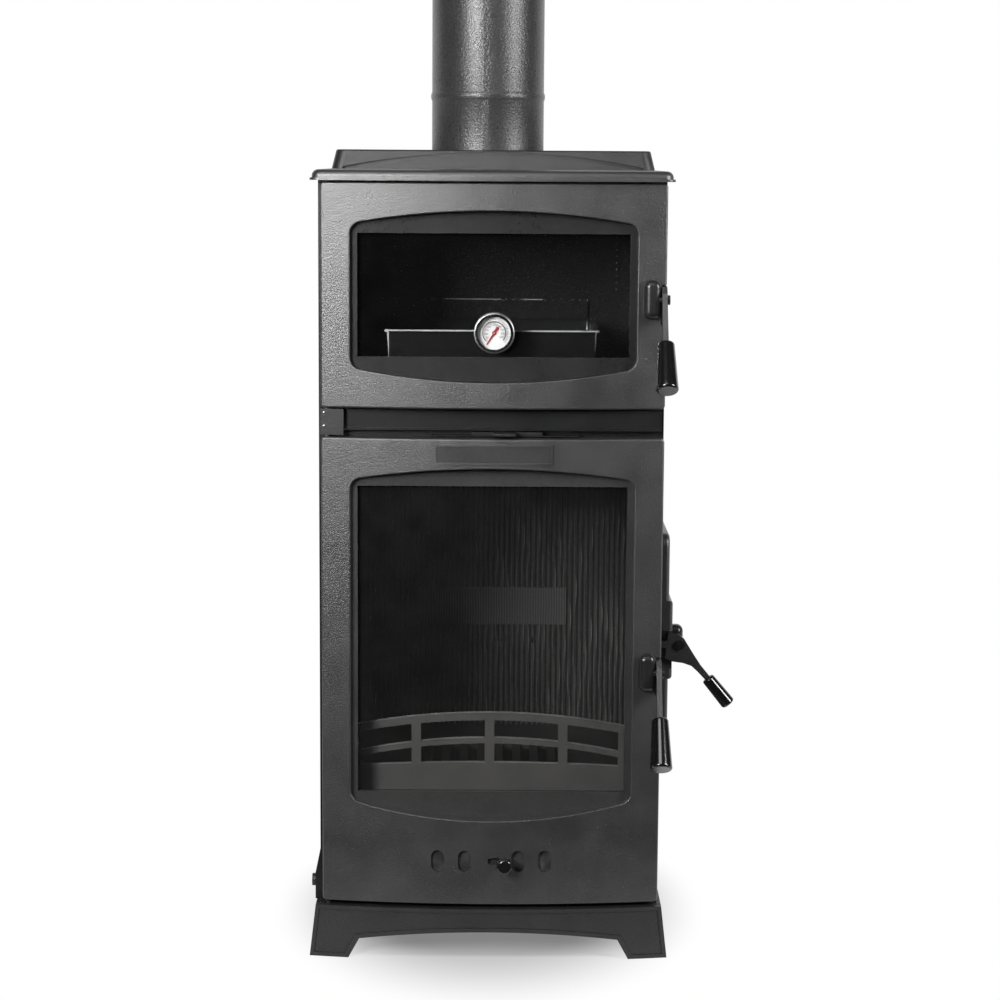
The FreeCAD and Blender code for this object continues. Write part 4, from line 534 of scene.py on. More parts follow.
def rounded_ring(low, high, outset, corner, z):
    """Points round a rectangle with round corners, moved out by outset, at height z."""
    points = []
    reach = max(corner + outset, LEAST_CORNER)
    for quarter, (sx, sy) in enumerate(((1, 1), (-1, 1), (-1, -1), (1, -1))):
        middle_x = (high.x - corner) if sx > 0 else (low.x + corner)
        middle_y = (high.y - corner) if sy > 0 else (low.y + corner)
        for step in range(CORNER_STEPS + 1):
            turn = math.radians(90.0 * (quarter + step / CORNER_STEPS))
            points.append(
                Vector((middle_x + reach * math.cos(turn), middle_y + reach * math.sin(turn), z))
            )
    return points


LOFT_SHARP = 40.0


def lofted(name, rings, finish):
    """A closed skin through these rings, its first and last ring filled."""
    work = bmesh.new()
    loops = [[work.verts.new(point) for point in ring] for ring in rings]
    for lower, upper in zip(loops, loops[1:]):
        for i in range(len(lower)):
            j = (i + 1) % len(lower)
            work.faces.new((lower[i], lower[j], upper[j], upper[i]))
    work.faces.new(loops[0])
    work.faces.new(loops[-1])
    bmesh.ops.recalc_face_normals(work, faces=work.faces[:])
    mesh = bpy.data.meshes.new(name)
    work.to_mesh(mesh)
    work.free()
    for face in mesh.polygons:
        face.use_smooth = True
    mesh.set_sharp_from_angle(angle=math.radians(LOFT_SHARP))
    mesh.materials.append(finish)
    return bpy.data.objects.new(name, mesh)


TRAY_CORNER = 0.006
TRAY_SHEET = 0.0016
ROLL = 0.0018
RIM_OUT = 0.0064
TRAY_LEAN = 0.004
ROLL_TURNS = (-120, -60, 0, 45, 90, 135, 180)
FOOT_ROUND = ((0.006, 0.0), (0.002, 0.001), (0.0, 0.005))
INSIDE_ROUND = ((TRAY_SHEET, 0.006), (0.008, TRAY_SHEET))
tray_low, tray_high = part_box("baking_tray")
wall_low = tray_low + Vector((RIM_OUT, RIM_OUT, 0.0))
wall_high = tray_high - Vector((RIM_OUT, RIM_OUT, 0.0))
tray_profile = [(-TRAY_LEAN - inset, tray_low.z + rise) for inset, rise in FOOT_ROUND]
tray_profile.append((0.0, tray_high.z - 2.0 * ROLL))
for degrees in ROLL_TURNS:
    turn = math.radians(degrees)
    tray_profile.append((ROLL + ROLL * math.cos(turn), tray_high.z - ROLL + ROLL * math.sin(turn)))
tray_profile.append((-TRAY_SHEET, tray_high.z - 3.0 * ROLL))
tray_profile += [(-TRAY_LEAN - inset, tray_low.z + rise) for inset, rise in INSIDE_ROUND]


def tray_rim_highlight(place):
    """A painted highlight on the tray's front rim and front corners, in patches, laid on as enamel
    rubbed bright.
    """
    along, depth, height = axes(place)
    rubbed_and_lit = cloud(place, 24.0, 2.0).step(0.25, 0.5)
    crown = height.step(tray_high.z - 0.0022, tray_high.z - 0.0012) * rubbed_and_lit
    crown = crown * (1.0 - depth.step(wall_low.y + 0.004, wall_low.y + 0.016))
    at_end = (1.0 - along.step(wall_low.x + 0.002, wall_low.x + 0.003)) + along.step(
        wall_high.x - 0.003, wall_high.x - 0.002
    )
    corner = at_end * (1.0 - depth.step(wall_low.y + 0.005, wall_low.y + 0.006))
    return crown.maths("MAXIMUM", crown, corner)


# The tray's rim and front corners carry a painted highlight in near-white.
tray = lofted(
    "roasting_tray",
    [rounded_ring(wall_low, wall_high, out, TRAY_CORNER, z) for out, z in tray_profile],
    enamel("tray_black", 0.012, 0.1, tray_rim_highlight),
)
keep_piece(tray, "stove")
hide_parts("baking_tray")

# Top: one thick plate with a bullnosed front, the drafted plinth the flue stands on, the collar
# cast for it and the rolled pipe with its swaged bead, all under black heat paint.
dressed("top_plate", heat_paint)
# Painted shade: the plinth takes a darker copy of the heat paint, which stands in for less light on
# its front than the key gives.
dressed("flue_plinth", sand_cast("shaded_plinth_paint", grey(0.006), grey(0.014), 0.44, 0.0003, 0.55))


def sprayed_pipe(name):
    """Rolled sheet under sprayed paint: an even orange peel that breaks its highlights up."""
    finish, shader, place = new_finish(name)
    peel = cloud(place, 330.0, 3.0, 0.65)
    mist = cloud(place, 900.0, 1.0)
    runs = cloud(place, 16.0, 2.0)
    feed(
        shader,
        Base_Color=(peel * 0.6 + runs * 0.4).step(0.3, 0.7).between(grey(0.02), grey(0.036)),
        Roughness=peel * 0.14 + 0.22,
        Normal=relief(peel * 0.7 + mist * 0.3, 0.0007),
    )
    return finish


pipe_paint = sprayed_pipe("pipe_paint")
for length in ("flue_collar", "flue_pipe"):
    dressed(length, pipe_paint, flat_width=0.02)

# Firebox door: a bowed casting with a sunk field, a glass held behind it by clips on a thin seal,
# and a rope laid in the groove round its back, which closes on the front frame.
FIELD_Y = -0.2245
FIELD_WALL = -0.6
FACES_FRONT = -0.99
SLACK = 0.001
SMOOTH = 1
PLAQUE_LOW = Vector((-0.0685, -0.2477, 0.6405))
PLAQUE_HIGH = Vector((0.0745, -0.2425, 0.6606))


def door_casting(name, field_finish):
    """A door in grainy paint, smooth in the sunk field round its glass and on the plaque."""
    piece = dressed(name, heat_paint)
    mesh = piece.data
    mesh.materials.append(field_finish)
    front = [face for face in mesh.polygons if face.normal.y < FACES_FRONT]
    floor = [face for face in front if abs(face.center.y - FIELD_Y) < SLACK]
    corners = [mesh.vertices[index].co for face in floor for index in face.vertices]
    left, right = min(spot.x for spot in corners), max(spot.x for spot in corners)
    foot, head = min(spot.z for spot in corners), max(spot.z for spot in corners)
    for face in mesh.polygons:
        spot = face.center
        across = left - SLACK < spot.x < right + SLACK
        upright = foot - SLACK < spot.z < head + SLACK
        on_wall = across and upright and spot.y < FIELD_Y and face.normal.y > FIELD_WALL
        on_plaque = all(PLAQUE_LOW[axis] < spot[axis] < PLAQUE_HIGH[axis] for axis in range(3))
        if on_wall or on_plaque and face.normal.y < FACES_FRONT:
            face.material_index = SMOOTH
    for face in floor:
        face.material_index = SMOOTH


# Painted light: the firebox door's field takes a paler copy of the field paint, which stands in for
# light from above.
door_casting("firebox_door_frame", rubbed_paint("lit_hearth_field", grey(0.025), grey(0.038), 0.32))


def stove_pane(name, tint, shine, haze):
    """Flat ceramic glass: clear, faintly smoked and dusty, with a hard clean reflection."""
    finish = bpy.data.materials.new(name)
    finish.use_nodes = True
    tree = finish.node_tree
    tree.nodes.remove(tree.nodes["Principled BSDF"])
    start = Signal(tree, tree.nodes.new("ShaderNodeTexCoord").outputs["Object"])
    film = cloud(start, 30.0, 2.0)
    clear = start.node("ShaderNodeBsdfTransparent", {}, {"Color": (*grey(tint), 1.0)})
    dust = start.node("ShaderNodeBsdfDiffuse", {}, {"Color": (*grey(0.8), 1.0)})
    dusty = start.node("ShaderNodeMixShader", {}, {0: film * haze + haze * 0.5, 1: clear, 2: dust})
    mirror = start.node("ShaderNodeBsdfGlossy", {}, {"Roughness": 0.03})
    edge = start.node("ShaderNodeFresnel", {}, {"IOR": 1.45})
    share = edge * (film * 0.3 + shine)
    whole = start.node("ShaderNodeMixShader", {}, {0: share, 1: dusty, 2: mirror})
    tree.links.new(whole.socket, tree.nodes["Material Output"].inputs["Surface"])
    return finish


def coat(finish, name):
    """The node keeps its shape and takes this finish."""
    nodes[name].data.materials.clear()
    nodes[name].data.materials.append(finish)


coat(stove_pane("firebox_pane", tint=0.88, shine=0.8, haze=0.0055), "firebox_glass")


def woven_cord(name, dark, light):
    """Glass-fibre cord: matt, with its filaments showing."""
    finish, shader, place = new_finish(name, Roughness=0.9)
    fibre = cloud(place, 1500.0, 2.0)
    patch = cloud(place, 90.0, 2.0)
    feed(
        shader,
        Base_Color=(fibre * 0.5 + patch * 0.5).between(dark, light),
        Normal=relief(fibre, 0.0002),
    )
    return finish


rope_fibre = woven_cord("rope_fibre", grey(0.05), grey(0.12))
coat(rope_fibre, "firebox_glass_seal")


def plated_steel(name):
    """Zinc-plated spring steel: bright, with a fine crystalline mottle."""
    finish, shader, place = new_finish(name, Metallic=1.0)
    spangle = cloud(place, 300.0, 2.0)
    feed(
        shader,
        Base_Color=spangle.between(grey(0.42), grey(0.6)),
        Roughness=spangle * 0.2 + 0.25,
        Normal=relief(spangle, 0.00008),
    )
    return finish


clip_plate = plated_steel("clip_plate")
dressed("firebox_glass_clips", clip_plate)


def new_recipe(name, inputs):
    """A Geometry Nodes tree with a geometry in, these named inputs and a geometry out."""
    tree = bpy.data.node_groups.new(name, "GeometryNodeTree")
    tree.interface.new_socket("Geometry", in_out="INPUT", socket_type="NodeSocketGeometry")
    for label, kind in inputs.items():
        tree.interface.new_socket(label, in_out="INPUT", socket_type=kind)
    tree.interface.new_socket("Geometry", in_out="OUTPUT", socket_type="NodeSocketGeometry")
    entry = tree.nodes.new("NodeGroupInput")
    return tree, {socket.name: Signal(tree, socket) for socket in entry.outputs if socket.name}


def end_recipe(tree, shape, finish):
    """Instances made real, in this finish, out of the tree."""
    real = shape.node("GeometryNodeRealizeInstances", {}, {"Geometry": shape})
    coated = real.node("GeometryNodeSetMaterial", {}, {"Geometry": real, "Material": finish})
    leave = tree.nodes.new("NodeGroupOutput")
    tree.links.new(coated.socket, leave.inputs["Geometry"])


def evaluated_mesh(piece):
    """The piece's mesh with its modifiers worked in."""
    tree = bpy.context.evaluated_depsgraph_get()
    return bpy.data.meshes.new_from_object(piece.evaluated_get(tree))


def grown(name, tree, start, values, body):
    """The piece that the tree makes from the start mesh, as a plain mesh."""
    piece = bpy.data.objects.new(name, start)
    scene.collection.objects.link(piece)
    grow = piece.modifiers.new("grow", "NODES")
    grow.node_group = tree
    for item in tree.interface.items_tree:
        if item.in_out == "INPUT" and item.name in values:
            grow[item.identifier] = values[item.name]
    solid = evaluated_mesh(piece)
    piece.modifiers.clear()
    piece.data = solid
    return keep_piece(piece, body)


FLOAT = "NodeSocketFloat"
rope_recipe, rope = new_recipe(
    "plaited_rope",
    {"Pitch": FLOAT, "Strand": FLOAT, "Length": FLOAT, "Spread": FLOAT, "Slant": FLOAT,
     "Depth": FLOAT, "Finish": "NodeSocketMaterial"},
)
line = rope["Geometry"].node("GeometryNodeMeshToCurve", {}, {"Mesh": rope["Geometry"]})
stations = line.node(
    "GeometryNodeResampleCurve", {"mode": "LENGTH"}, {"Curve": line, "Length": rope["Pitch"]}
)
tangent = stations.node("GeometryNodeInputTangent")
facing = tangent.node(
    "FunctionNodeAxesToRotation",
    {"primary_axis": "X", "secondary_axis": "Y"},
    {"Primary Axis": tangent, "Secondary Axis": (0.0, 1.0, 0.0)},
)
bead = stations.node("GeometryNodeMeshUVSphere", {}, {"Segments": 8, "Rings": 5, "Radius": 1.0})
size = stations.node(
    "ShaderNodeCombineXYZ", {}, {"X": rope["Length"], "Y": rope["Depth"], "Z": rope["Strand"]}
)
strands = []
for side in (1.0, -1.0):
    lean = rope["Slant"] * side
    offset = rope["Spread"] * side
    turn = lean.node("ShaderNodeCombineXYZ", {}, {"Y": lean})
    shift = offset.node("ShaderNodeCombineXYZ", {}, {"Z": offset})
    strands.append(
        bead.node(
            "GeometryNodeTransform",
            {},
            {"Geometry": bead, "Translation": shift, "Rotation": turn, "Scale": size},
        )
    )
plait = strands[0].node("GeometryNodeJoinGeometry", {}, {"Geometry": strands[0]})
rope_recipe.links.new(strands[1].socket, plait.socket.node.inputs["Geometry"])
round_plait = plait.node("GeometryNodeSetShadeSmooth", {}, {"Geometry": plait})
laid = stations.node(
    "GeometryNodeInstanceOnPoints",
    {},
    {"Points": stations, "Instance": round_plait, "Rotation": facing},
)
end_recipe(rope_recipe, laid, rope["Finish"])

ROPE_HALF = 0.004


def rope_loop(name):
    """The closed line down the middle of a door rope, where its node lies."""
    low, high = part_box(name)
    flat = min(range(3), key=lambda axis: high[axis] - low[axis])
    across = [axis for axis in range(3) if axis != flat]
    corners = []
    for a, b in ((0, 0), (1, 0), (1, 1), (0, 1)):
        point = Vector((0.0, 0.0, 0.0))
        point[flat] = (low[flat] + high[flat]) / 2.0
        for axis, end in zip(across, (a, b)):
            point[axis] = (high[axis] - ROPE_HALF) if end else (low[axis] + ROPE_HALF)
        corners.append(point)
    mesh = bpy.data.meshes.new(name + "_line")
    mesh.from_pydata(corners, [(0, 1), (1, 2), (2, 3), (3, 0)], [])
    return mesh, (high[flat] - low[flat]) / 2.0


def plaited(name):
    """A door rope laid in its groove, plaited from slanting strands."""
    start, half = rope_loop(name)
    piece = grown(
        name + "_plait",
        rope_recipe,
        start,
        {"Pitch": 0.0044, "Strand": 0.0017, "Length": 0.0042, "Spread": 0.0021, "Slant": 0.6,
         "Depth": half, "Finish": rope_fibre},
        nodes[name]["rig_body"],
    )
    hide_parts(name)


plaited("firebox_door_rope")

heads_recipe, heads = new_recipe(
    "domed_heads", {"Radius": FLOAT, "Height": FLOAT, "Finish": "NodeSocketMaterial"}
)
head_size = heads["Radius"].node(
    "ShaderNodeCombineXYZ", {}, {"X": heads["Radius"], "Y": heads["Height"], "Z": heads["Radius"]}
)
dome = head_size.node("GeometryNodeMeshUVSphere", {}, {"Segments": 14, "Rings": 8, "Radius": 1.0})
round_dome = dome.node("GeometryNodeSetShadeSmooth", {}, {"Geometry": dome})
set_heads = dome.node(
    "GeometryNodeInstanceOnPoints",
    {},
    {"Points": heads["Geometry"], "Instance": round_dome, "Scale": head_size},
)
end_recipe(heads_recipe, set_heads, heads["Finish"])


def studs(name, spots, radius, height, finish, body):
    """Domed heads of screws or pins, one on each spot, facing along Y."""
    start = bpy.data.meshes.new(name + "_spots")
    start.from_pydata(spots, [], [])
    values = {"Radius": radius, "Height": height, "Finish": finish}
    grown(name, heads_recipe, start, values, body)


def separate_pieces(name):
    """The low and high corner of each loose piece in a node."""
    work = joined(name)
    waiting = set(work.verts)
    found = []
    while waiting:
        piece = [waiting.pop()]
        for vert in piece:
            for edge in vert.link_edges:
                other = edge.other_vert(vert)
                if other in waiting:
                    waiting.remove(other)
                    piece.append(other)
        points = [vert.co for vert in piece]
        low = Vector(min(point[axis] for point in points) for axis in range(3))
        high = Vector(max(point[axis] for point in points) for axis in range(3))
        found.append((low, high))
    work.free()
    return found


SCREW_RADIUS = 0.0032
SCREW_DOME = 0.0018


def clip_screws(name, body):
    """A dome-headed screw through each clip, driven from behind."""
    spots = []
    for low, high in separate_pieces(name):
        middle = (low + high) / 2.0
        spots.append((middle.x, high.y, middle.z))
    studs(name + "_screws", spots, SCREW_RADIUS, SCREW_DOME, clip_plate, body)


clip_screws("firebox_glass_clips", "firebox_door")

# Fixings of the casing: two dome-headed pins through the hinge block beside the band, and the row
# of bright weld beads that joins the oven's back sheet to its right side.
PIN_RADIUS = 0.0017
PIN_DOME = 0.0009
PIN_SPOTS = [(-0.209, -0.2243, 0.6998), (-0.209, -0.2243, 0.6834)]
studs("block_pins", PIN_SPOTS, PIN_RADIUS, PIN_DOME, clip_plate, "stove")
WELD_RADIUS = 0.0011
WELD_DOME = 0.0008
WELD_COUNT = 11
WELD_STEP = 0.009
WELD_FOOT = Vector((0.169, 0.0995, 0.838))
weld_spots = [WELD_FOOT + Vector((0.0, 0.0, WELD_STEP * step)) for step in range(WELD_COUNT)]
studs("oven_weld", weld_spots, WELD_RADIUS, WELD_DOME, clip_plate, "stove")

# Primary air: a steel plate that slides across four slots in the door's low rail. Its stud carries
# a turned black phenolic knob, fluted for the fingers.
dressed("primary_air_slide", oiled_steel("slide_steel", 0.06, 0.45))


def phenolic(name, rough):
    """Moulded phenolic: deep black, hard gloss, with faint flow marks."""
    finish, shader, place = new_finish(name, Coat_Weight=0.5, Coat_Roughness=0.1)
    flow = cloud(place, 120.0, 3.0)
    dust = cloud(place, 1400.0, 1.0)
    feed(
        shader,
        Base_Color=flow.between(grey(0.003), grey(0.007)),
        Roughness=flow * 0.06 + dust * 0.06 + rough,
        Normal=relief(flow * 0.6 + dust * 0.4, 0.0001),
    )
    return finish


grip_gloss = phenolic("grip_gloss", 0.12)
dressed("primary_air_knob", grip_gloss, flat_width=0.008)

# Oven door: the same bowed casting, shorter, with its own pane, clips, seal and rope, and a bore
# in the glass for the thermometer.
# Painted shade: the oven door's field, and the handle bosses, take a darker copy of the field
# paint, which stands in for the shade in the sunk field under the top rail.
shaded_smooth_paint = rubbed_paint("shaded_smooth_paint", grey(0.009), grey(0.016), 0.3)
door_casting("oven_door_frame", shaded_smooth_paint)
coat(stove_pane("oven_pane", tint=0.88, shine=0.8, haze=0.002), "oven_glass")
coat(rope_fibre, "oven_glass_seal")
dressed("oven_glass_clips", clip_plate)
clip_screws("oven_glass_clips", "oven_door")
plaited("oven_door_rope")

# Thermometer: a chromed brass case through the oven glass, black inside its rim, a printed dial, a
# red pointer on its spindle and a flat lens held by the bezel.


def chrome(name):
    finish, shader, place = new_finish(name, Metallic=1.0)
    breath = cloud(place, 150.0, 2.0)
    feed(
        shader,
        Base_Color=breath.between(grey(0.36), grey(0.46)),
        Roughness=breath * 0.1 + 0.3,
    )
    return finish


case = dressed("thermometer_case", chrome("case_chrome"), flat_width=0.012)
case.data.materials.append(rubbed_paint("well_black", grey(0.002), grey(0.004), 0.28))
dial_low, dial_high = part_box("thermometer_dial")
DIAL_X = (dial_low.x + dial_high.x) / 2.0
DIAL_Z = (dial_low.z + dial_high.z) / 2.0
WELL_RADIUS = 0.0234
WELL_BACK = -0.2205
BLACKED = 1
for face in case.data.polygons:
    spot = face.center
    if math.hypot(spot.x - DIAL_X, spot.z - DIAL_Z) < WELL_RADIUS and spot.y < WELL_BACK:
        face.material_index = BLACKED


def printed_card(name, level):
    finish, shader, place = new_finish(name, Roughness=0.5)
    tooth = cloud(place, 900.0, 2.0)
    feed(shader, Base_Color=tooth.between(grey(level * 0.94), grey(level)))
    return finish


dressed("thermometer_dial", printed_card("dial_enamel", 0.86))
coat(stove_pane("dial_pane", tint=0.97, shine=0.6, haze=0.002), "thermometer_lens")


def lacquer(name, dark, light):
    finish, shader, place = new_finish(name, Roughness=0.35)
    mottle = cloud(place, 400.0, 2.0)
    feed(shader, Base_Color=mottle.between(dark, light))
    return finish


PRINT_LIFT = 0.0001
PRINT_Y = dial_low.y - PRINT_LIFT


def on_dial(clock, radius):
    """A spot on the printed face, by clock angle in degrees and distance from the middle."""
    turn = math.radians(clock)
    return Vector((DIAL_X + radius * math.sin(turn), PRINT_Y, DIAL_Z + radius * math.cos(turn)))


SCALE_START = 227
SCALE_END = 489
SCALE_IN = 0.0136
SCALE_OUT = 0.0148
print_ink = lacquer("print_ink", grey(0.06), grey(0.1))
work = bmesh.new()
scale = [
    (work.verts.new(on_dial(clock, SCALE_IN)), work.verts.new(on_dial(clock, SCALE_OUT)))
    for clock in range(SCALE_START, SCALE_END + 1, 2)
]
for (in0, out0), (in1, out1) in zip(scale, scale[1:]):
    work.faces.new((in0, out0, out1, in1))
NUMBER_COUNT = 10
NUMBER_UNIT = 50
NUMBER_SIZE = 0.0034
NUMBER_RADIUS = 0.0103
NUMBER_INSET = 10
NUMBER_START = SCALE_START + NUMBER_INSET
NUMBER_TURN = (SCALE_END - NUMBER_INSET - NUMBER_START) / (NUMBER_COUNT - 1)
for step in range(NUMBER_COUNT):
    letters = bpy.data.curves.new("number", "FONT")
    letters.body = str(NUMBER_UNIT * (step + 1))
    letters.size = NUMBER_SIZE
    letters.align_x = "CENTER"
    letters.align_y = "CENTER"
    sign = bpy.data.objects.new("number", letters)
    scene.collection.objects.link(sign)
    shape = evaluated_mesh(sign)
    middle = on_dial(NUMBER_START + NUMBER_TURN * step, NUMBER_RADIUS)
    shape.transform(Matrix.Translation(middle) @ Matrix.Rotation(math.radians(90.0), 4, "X"))
    work.from_mesh(shape)
    bpy.data.objects.remove(sign)
    bpy.data.curves.remove(letters)
for face in work.faces:
    face.normal_update()
    if face.normal.y > 0.0:
        face.normal_flip()
print_mesh = bpy.data.meshes.new("dial_print")
work.to_mesh(print_mesh)
work.free()
print_mesh.materials.append(print_ink)
dial_body = nodes["thermometer_dial"]["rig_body"]
keep_piece(bpy.data.objects.new("dial_print", print_mesh), dial_body)

tick_recipe, tick = new_recipe(
    "dial_ticks",
    {"Centre": "NodeSocketVector", "Size": "NodeSocketVector", "Finish": "NodeSocketMaterial"},
)
here = tick["Centre"].node("GeometryNodeInputPosition")
outward = here.node("ShaderNodeVectorMath", {"operation": "SUBTRACT"}, {0: here, 1: tick["Centre"]})
upright = outward.node(
    "FunctionNodeAxesToRotation",
    {"primary_axis": "Z", "secondary_axis": "Y"},
    {"Primary Axis": outward, "Secondary Axis": (0.0, 1.0, 0.0)},
)
stroke = here.node("GeometryNodeMeshCube", {}, {"Size": tick["Size"]})
strokes = stroke.node(
    "GeometryNodeInstanceOnPoints",
    {},
    {"Points": tick["Geometry"], "Instance": stroke, "Rotation": upright},
)
end_recipe(tick_recipe, strokes, tick["Finish"])
TICK_COUNT = 41
TICK_TURN = 6.55
TICK_RADIUS = 0.0172
TICK_SIZE = (0.0003, 0.0001, 0.0022)
tick_spots = bpy.data.meshes.new("tick_spots")
tick_spots.from_pydata(
    [on_dial(SCALE_START + TICK_TURN * step, TICK_RADIUS) for step in range(TICK_COUNT)], [], []
)
tick_values = {"Centre": on_dial(0.0, 0.0), "Size": TICK_SIZE, "Finish": print_ink}
grown("dial_ticks", tick_recipe, tick_spots, tick_values, dial_body)
dressed("thermometer_needle", lacquer("needle_lacquer", (0.3, 0.01, 0.015), (0.4, 0.015, 0.02)))

# Handles: each a cast boss on the door, a lever cut from plate that lifts its tongue off the
# keeper, and a turned black grip on the lever's tang.
for handle in ("oven", "firebox", "side"):
    dressed(handle + "_handle_boss", shaded_smooth_paint)
    dressed(handle + "_handle_lever", heat_paint)
    dressed(handle + "_handle_grip", grip_gloss, flat_width=0.012)

# Side loading door: a flat casting with a raised pad, hung on brackets at the back of the right
# wall, closing on its own rope.
dressed("side_door_panel", heat_paint)
plaited("side_door_rope")

# Air-wash slide: a strip of blackened steel plate that runs on the lip under the middle band, cut
# in one piece with the flat tab that it is pushed by.
# Painted shade: the slide takes a copy of the blackened steel about three times darker, which
# stands in for the shade under the band.
dressed("air_wash_slide", oiled_steel("shaded_wash_steel", 0.018, 0.45))

# Studio: a white floor that runs out to a white background, a softbox at the upper left, a tall
# strip at the right, a weak top light, and a dark drop, canopy and floor mat round the camera.
scene.view_settings.view_transform = "Standard"
world = bpy.data.worlds.new("white_studio")
scene.world = world
world.use_nodes = True
sky = world.node_tree
for node in list(sky.nodes):
    sky.nodes.remove(node)


def background_rays(tree):
    """1 for rays that show the background: the camera's own, off metal or through glass."""
    path = tree.nodes.new("ShaderNodeLightPath")
    kinds = ("Is Camera Ray", "Is Glossy Ray", "Is Transmission Ray")
    seen, mirrored, through = (Signal(tree, path.outputs[kind]) for kind in kinds)
    return seen.maths("MAXIMUM", seen.maths("MAXIMUM", seen, mirrored), through)


SKY_FILL = 0.14
shown = background_rays(sky)
glow = shown.node(
    "ShaderNodeBackground",
    {},
    {"Color": (1.0, 1.0, 1.0, 1.0), "Strength": shown * (1.0 - SKY_FILL) + SKY_FILL},
)
sky.links.new(glow.socket, sky.nodes.new("ShaderNodeOutputWorld").inputs["Surface"])


def flat_sheet(name, corners, finish):
    mesh = bpy.data.meshes.new(name)
    mesh.from_pydata(corners, [], [tuple(range(len(corners)))])
    mesh.materials.append(finish)
    piece = bpy.data.objects.new(name, mesh)
    scene.collection.objects.link(piece)
    return piece


SHADE_WIDE = 0.24
SHADE_DEEP = 0.36
SHADE_CORE = 0.6
SHADE_RIM = 1.25
SHADE_LEAST = 0.22


def floor_white():
    """White floor: plain white further out, and under and round the stove a darker matt oval, a
    painted shadow added to the lamps' own shadow.
    """
    finish = bpy.data.materials.new("floor_white")
    finish.use_nodes = True
    tree = finish.node_tree
    tree.nodes.remove(tree.nodes["Principled BSDF"])
    place = Signal(tree, tree.nodes.new("ShaderNodeTexCoord").outputs["Object"])
    shown = background_rays(tree)
    matt = place.node("ShaderNodeBsdfDiffuse", {}, {"Color": shown.between(grey(0.25), grey(0.5))})
    plain = place.node("ShaderNodeEmission", {}, {"Color": (1.0, 1.0, 1.0, 1.0), "Strength": 1.0})
    oval = place.node(
        "ShaderNodeVectorMath",
        {"operation": "MULTIPLY"},
        {0: place, 1: (1.0 / SHADE_WIDE, 1.0 / SHADE_DEEP, 0.0)},
    )
    reach = oval.node("ShaderNodeVectorMath", {"operation": "LENGTH"}, {0: oval}, "Value")
    share = shown * (reach.step(SHADE_CORE, SHADE_RIM) * (1.0 - SHADE_LEAST) + SHADE_LEAST)
    whole = place.node("ShaderNodeMixShader", {}, {0: share, 1: matt, 2: plain})
    tree.links.new(whole.socket, tree.nodes["Material Output"].inputs["Surface"])
    return finish


FLOOR = 20.0
flat_sheet(
    "floor",
    [(-FLOOR, -FLOOR, 0.0), (FLOOR, -FLOOR, 0.0), (FLOOR, FLOOR, 0.0), (-FLOOR, FLOOR, 0.0)],
    floor_white(),
)


def dark_drop():
    finish, shader, place = new_finish("dark_drop", Roughness=1.0)
    feed(shader, Base_Color=cloud(place, 2.0).between(grey(0.01), grey(0.02)))
    return finish


drop_black = dark_drop()


def dark_sheet(name, corners):
    """A black sheet that takes up light and shows in reflections only."""
    flat_sheet(name, corners, drop_black).visible_camera = False


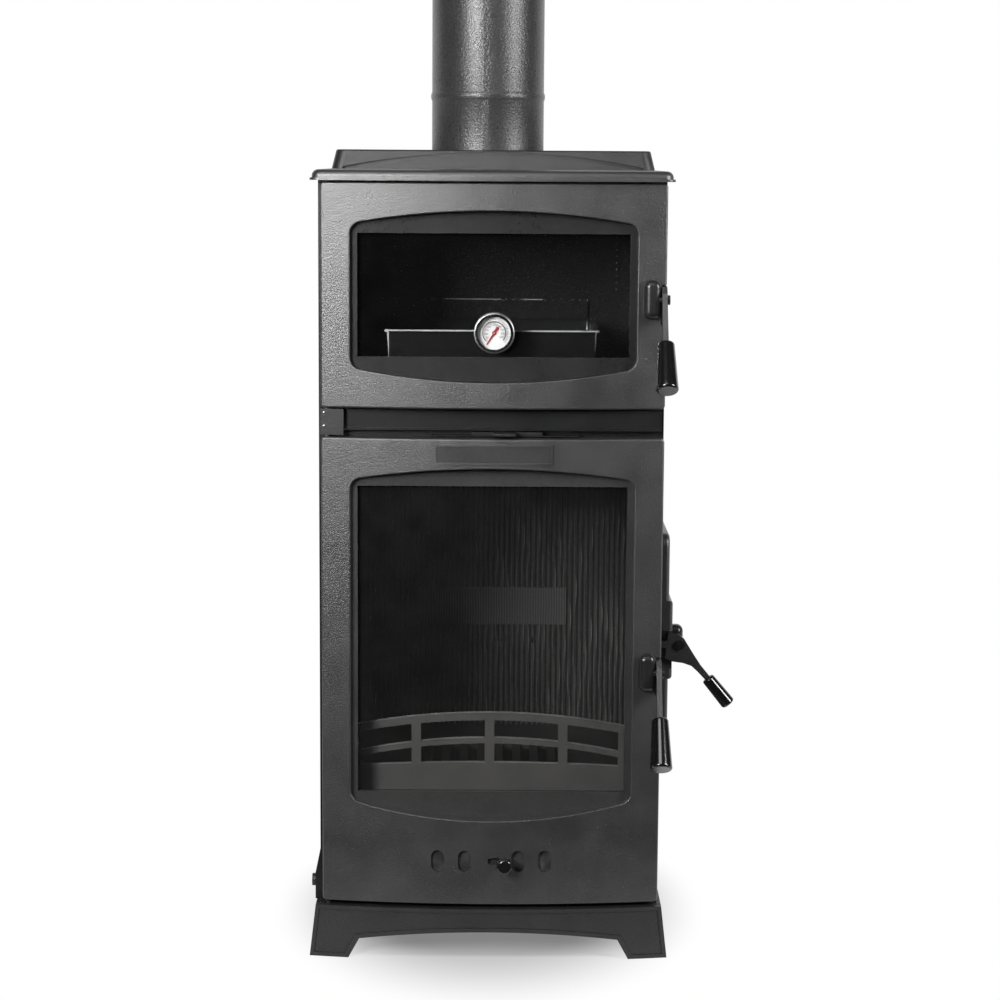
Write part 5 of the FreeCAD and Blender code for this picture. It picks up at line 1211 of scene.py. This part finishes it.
DROP_RADIUS = 4.6
DROP_HEIGHT = 3.4
DROP_HALF_TURN = 120
DROP_TURN = 15
drop_rim = []
for degrees in range(-DROP_HALF_TURN, DROP_HALF_TURN + 1, DROP_TURN):
    turn = math.radians(degrees)
    drop_rim.append((DROP_RADIUS * math.sin(turn), -DROP_RADIUS * math.cos(turn)))
for (x0, y0), (x1, y1) in zip(drop_rim, drop_rim[1:]):
    dark_sheet(
        "front_drop",
        [(x0, y0, 0.0), (x1, y1, 0.0), (x1, y1, DROP_HEIGHT), (x0, y0, DROP_HEIGHT)],
    )
dark_sheet("canopy", [(x, y, DROP_HEIGHT) for x, y in drop_rim])
MAT_EDGE = -0.42
MAT_HEIGHT = 0.002
MAT_CORNERS = [
    (-DROP_RADIUS, -DROP_RADIUS),
    (DROP_RADIUS, -DROP_RADIUS),
    (DROP_RADIUS, MAT_EDGE),
    (-DROP_RADIUS, MAT_EDGE),
]
dark_sheet("front_mat", [(x, y, MAT_HEIGHT) for x, y in MAT_CORNERS])


def softbox(name, place, aim, width, height, power, spread=180.0):
    lamp = bpy.data.lights.new(name, "AREA")
    lamp.shape = "RECTANGLE"
    lamp.size = width
    lamp.size_y = height
    lamp.energy = power
    lamp.spread = math.radians(spread)
    rig = bpy.data.objects.new(name, lamp)
    scene.collection.objects.link(rig)
    rig.location = place
    rig.rotation_euler = (Vector(aim) - Vector(place)).to_track_quat("-Z", "Y").to_euler()


softbox(
    "key_softbox",
    place=(-1.25, -2.5, 1.58),
    aim=(-0.1, -0.2, 1.1),
    width=0.8,
    height=1.1,
    power=19.5,
    spread=70.0,
)
softbox(
    "right_strip", place=(2.0, -1.25, 1.5), aim=(0.0, 0.0, 1.0), width=0.4, height=1.4, power=58.0
)
softbox(
    "top_panel", place=(-0.4, -1.7, 2.9), aim=(0.0, -0.1, 0.8), width=1.4, height=0.8, power=18.0
)

# Camera: at the height of the top plate and square to the front, from three metres off, looking
# down a little so that the whole stove fills the frame.
FRAME_WIDTH = 1.2475
STAND_OFF = 3.0
SENSOR = 36.0
CENTRE_X = 0.0115
FRONT_Y = -0.235
AIM_HEIGHT = 0.5925
EYE_HEIGHT = 1.015
aim = Vector((CENTRE_X, FRONT_Y, AIM_HEIGHT))
eye = Vector((CENTRE_X, FRONT_Y - STAND_OFF, EYE_HEIGHT))
lens = bpy.data.cameras.new("front_camera")
lens.sensor_width = SENSOR
lens.lens = SENSOR * (aim - eye).length / FRAME_WIDTH
lens.clip_end = 100.0
camera = bpy.data.objects.new("front_camera", lens)
scene.collection.objects.link(camera)
TILT = math.radians(0.37)
turned = (aim - eye).to_track_quat("-Z", "Y").to_matrix().to_4x4()
camera.matrix_world = Matrix.Translation(eye) @ turned @ Matrix.Rotation(TILT, 4, "Z")
scene.camera = camera
